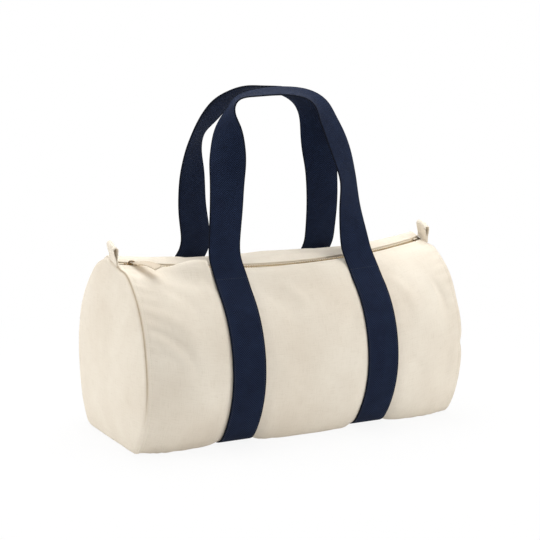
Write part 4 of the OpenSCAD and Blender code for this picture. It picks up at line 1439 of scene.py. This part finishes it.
# %% Sewing lines on the canvas
STITCH_SINK = 0.00005
FLOOR_CLEAR, LEAST_POINTS = 0.006, 3
SEAM_RINGS, LIP_POINT = 2, 3


def above_floor(points, outs):
    """Cuts a line where it runs under the bag."""
    keep = points[:, 2] > FLOOR_CLEAR
    groups = np.split(np.arange(len(points)), np.flatnonzero(np.diff(keep.astype(int))) + 1)
    return [(points[g], outs[g]) for g in groups if keep[g[0]] and len(g) > LEAST_POINTS]


def lip_line(end):
    """The row of topstitching beside a lip. end is 0 for the front lip and -1 for the back one."""
    points = []
    for ring, around in list(zip(barrel, barrel_around))[SEAM_RINGS:-SEAM_RINGS]:
        at = LIP_STITCH_AT if end == 0 else around[-1] - LIP_STITCH_AT
        points.append([np.interp(at, around, ring[:, k]) for k in range(3)])
    return np.array(points), barrel_normals[SEAM_RINGS:-SEAM_RINGS, LIP_POINT if end == 0 else -1 - LIP_POINT]


lip_lines = [lip_line(0), lip_line(-1)]
left_seam, right_seam = (above_floor(*line_round(side * (HALF_LEN - SEAM_STITCH_AT))) for side in (-1, 1))
print("lines on the canvas", len(lip_lines + left_seam + right_seam))

# %% Sewing lines on straps, tabs and strip
EDGE_INSET, STRIP_INSET, STRIP_SKIP = 0.0030, 0.0022, 8
SEWN_BELOW = 0.010
TAB_SEWN, BAND_ROW, TAB_ROW = 0.6, 8, 6


def band_lines(side, lines):
    """Two rows down each band of a strap, and one across its top."""
    route, across, out = lines
    found = []
    centre = np.array([0, 0, (END_CREST - KEEL_DEPTH) / 2])
    away = out * np.sign(np.sum(out * (route - centre) * np.array([0, 1, 1]), axis=1, keepdims=True))
    surface = route + away * (WEBBING_T / 2 - STITCH_SINK)
    reach = across * (WEBBING_W / 2 - EDGE_INSET)
    for leg in (-1, 1):
        sewn = (route[:, 2] < HINGE_Z[side] - SEWN_BELOW) & (route[:, 2] > FLOOR_CLEAR) & (route[:, 0] * leg > 0)
        found += [((surface + reach * edge)[sewn], away[sewn]) for edge in (-1, 1)]
        top = np.flatnonzero(sewn)[np.argmax(route[sewn, 2])]
        found.append(([surface[top] + reach[top] * t for t in np.linspace(-1, 1, BAND_ROW)], [away[top]] * BAND_ROW))
    return found


def tab_lines(side):
    """Two rows up each face of a tab, and one across its foot."""
    place, edge = tab_frame(side), TAB_W / 2 - EDGE_INSET
    middle = [p for p in tab_line if TAB_SPREAD < p[2] < TAB_SEWN * TAB_H]
    found = []
    for face in (-1, 1):
        rise = sorted((p[2], abs(p[0])) for p in middle if p[0] * face > 0)
        rows = [[(x, w, z) for z, x in rise] for w in (-edge, edge)]
        rows.append([(rise[0][1], w, rise[0][0]) for w in np.linspace(-edge, edge, TAB_ROW)])
        for row in rows:
            found.append(([place @ Vector((face * (x + TAB_WALL / 2), w, z)) for x, w, z in row],
                          [place.to_3x3() @ Vector((face, 0, 0))] * len(row)))
    return found


def strip_lines():
    """A row along each edge of the pull strip, on both faces."""
    found = []
    for face in (-1, 1):
        for edge in (-1, 1):
            points = strip_line + strip_out * face * (STRIP_T / 2 - STITCH_SINK)
            points += strip_across * edge * (STRIP_W / 2 - STRIP_INSET)
            found.append(([link_frame @ Vector(p) for p in points[STRIP_SKIP:-1]],
                          [link_frame.to_3x3() @ Vector(n * face) for n in strip_out[STRIP_SKIP:-1]]))
    return found


canvas_lines = lip_lines + left_seam + tab_lines(-1) + right_seam + tab_lines(1)
webbing_lines = band_lines(-1, front_lines) + band_lines(1, back_lines)
print("sewing lines", len(canvas_lines) + len(webbing_lines) + len(strip_lines()))

# %% [markdown]
# One stitch is a short thread that is thick in its middle, with ends that dip into the cloth. A picture of a seam would
# look flat from the side and would have no shadow. The thread has the colour of its cloth: natural on the canvas,
# dark blue on the webbing, and a darker natural on the pull strip as painted shade.

# %% Sew
STITCH_STEP, STITCH_LEN, STITCH_R, STITCH_SIDES = 0.0034, 0.0027, 0.00032, 6
STITCH_RINGS = [(-0.5, 0.4), (-0.28, 0.9), (0, 1), (0.28, 0.9), (0.5, 0.4)]


def stitch_piece():
    """One stitch: a short thread, thick in the middle, whose ends dip into the cloth."""
    points = []
    for share, thick in STITCH_RINGS:
        for k in range(STITCH_SIDES):
            a = 2 * math.pi * k / STITCH_SIDES
            dip = STITCH_R * (1 - thick)
            points.append((share * STITCH_LEN, thick * STITCH_R * math.cos(a), thick * STITCH_R * math.sin(a) - dip))
    faces = grid_faces(len(STITCH_RINGS), STITCH_SIDES, closed=True, caps=True)
    obj = mesh_object("stitch", points, faces, None, pale_thread)
    fix_normals(obj)
    return obj


stitch = stitch_piece()
for name, lines, thread, carrier, slot in (
    ("canvas_stitches", canvas_lines, pale_thread, "bag", "canvas"),
    ("webbing_stitches", webbing_lines, navy_thread, "bag", "webbing"),
    # Painted shade: the strip's stitches take the darker thread.
    ("strip_stitches", strip_lines(), shaded_thread, "pull_strip", "canvas"),
):
    row = grow(name, lines, stitch_tree, {"Piece": stitch, "Step": STITCH_STEP, "Material": thread})
    row.data.shade_smooth()
    dress(row, carrier, slot)
    print(name, faces_of(row), "faces")
bpy.data.objects.remove(stitch)

# %% [markdown]
# ## Stage and light
# The bag stands on a plain pale floor, as in a product studio. One small lamp would cut hard shadows into the
# folds, so four large soft ones light it from the right front, the left, above and behind, and the pale surroundings
# fill the shadows. The ground looks white to the camera and in shiny surfaces, and only a small share of that white
# is real light.

# %% Floor
FLOOR_REACH = 6.0
FLOOR_GLOW = 0.16
FLOOR_NEAR, FLOOR_FAR = (0.25, 0.9), (0.8, 1.0)


def seen_ray(tree, *kinds):
    """1 for the rays that show a white surround: those of the camera and those in gloss or glass."""
    rays = add(tree, "ShaderNodeLightPath").outputs
    seen = rays["Is Camera Ray"]
    for kind in kinds:
        seen = math_node(tree, "MAXIMUM", seen, rays[kind])
    return seen


def add_floor():
    """A white floor that keeps a soft shadow."""
    corners = [(x * FLOOR_REACH, y * FLOOR_REACH, 0) for x, y in ((-1, -1), (1, -1), (1, 1), (-1, 1))]
    material = bpy.data.materials.new("floor")
    floor = mesh_object("floor", corners, [(0, 1, 2, 3)], None, material, smooth_shading=False)
    material.use_nodes = True
    tree = material.node_tree
    tree.nodes.remove(tree.nodes["Principled BSDF"])
    matte = add(tree, "ShaderNodeBsdfDiffuse", {"Color": (0.9, 0.9, 0.9, 1)})
    white = add(tree, "ShaderNodeEmission", {"Color": (1, 1, 1, 1), "Strength": 1.0})
    far = add(tree, "ShaderNodeVectorMath", {0: object_place(tree)}, operation="LENGTH").outputs["Value"]
    white_share = add(tree, "ShaderNodeMapRange", {
        0: far, 1: FLOOR_NEAR[0], 2: FLOOR_FAR[0], 3: FLOOR_NEAR[1], 4: FLOOR_FAR[1]}).outputs[0]
    shown = math_node(tree, "MULTIPLY", seen_ray(tree, "Is Glossy Ray"), white_share)
    share = math_node(tree, "MAXIMUM", shown, FLOOR_GLOW)
    mixed = add(tree, "ShaderNodeMixShader", {0: share, 1: matte.outputs[0], 2: white.outputs[0]})
    tree.links.new(mixed.outputs[0], tree.nodes["Material Output"].inputs["Surface"])


add_floor()
print("floor", 2 * FLOOR_REACH, "m wide")

# %% World and lamps
AMBIENT = 0.34
LAMP_AIM = Vector((0, 0, 0.15))
# Each lamp: name, place, size in metres and power in watts.
LAMPS = [
    ("key", (1.1, -1.3, 0.55), 0.6, 8.0), ("left_side", (-1.9, 0.45, 0.9), 0.9, 14.2),
    ("top", (0.14, -0.06, 1.7), 1.5, 16), ("back_top", (0.1, 0.7, 1.5), 1.2, 10.5),
]


def add_world():
    """An even pale surround: white where the camera or a shiny surface sees it."""
    world = bpy.data.worlds.new("studio")
    bpy.context.scene.world = world
    world.use_nodes = True
    tree = world.node_tree
    seen = seen_ray(tree, "Is Glossy Ray", "Is Transmission Ray")
    back = tree.nodes["Background"].inputs
    back["Color"].default_value = (1, 1, 1, 1)
    tree.links.new(math_node(tree, "MULTIPLY_ADD", seen, 1.0 - AMBIENT, AMBIENT), back["Strength"])


def add_lamp(name, place, size, power):
    """A square soft lamp that faces the bag."""
    data = bpy.data.lights.new(name, "AREA")
    data.shape = "SQUARE"
    data.size = size
    data.energy = power
    lamp = new_object(name, data)
    lamp.location = place
    lamp.rotation_euler = (LAMP_AIM - Vector(place)).to_track_quat("-Z", "Y").to_euler()


add_world()
for lamp in LAMPS:
    add_lamp(*lamp)
bpy.context.scene.view_settings.view_transform = "Standard"
print("lamps", len(LAMPS))
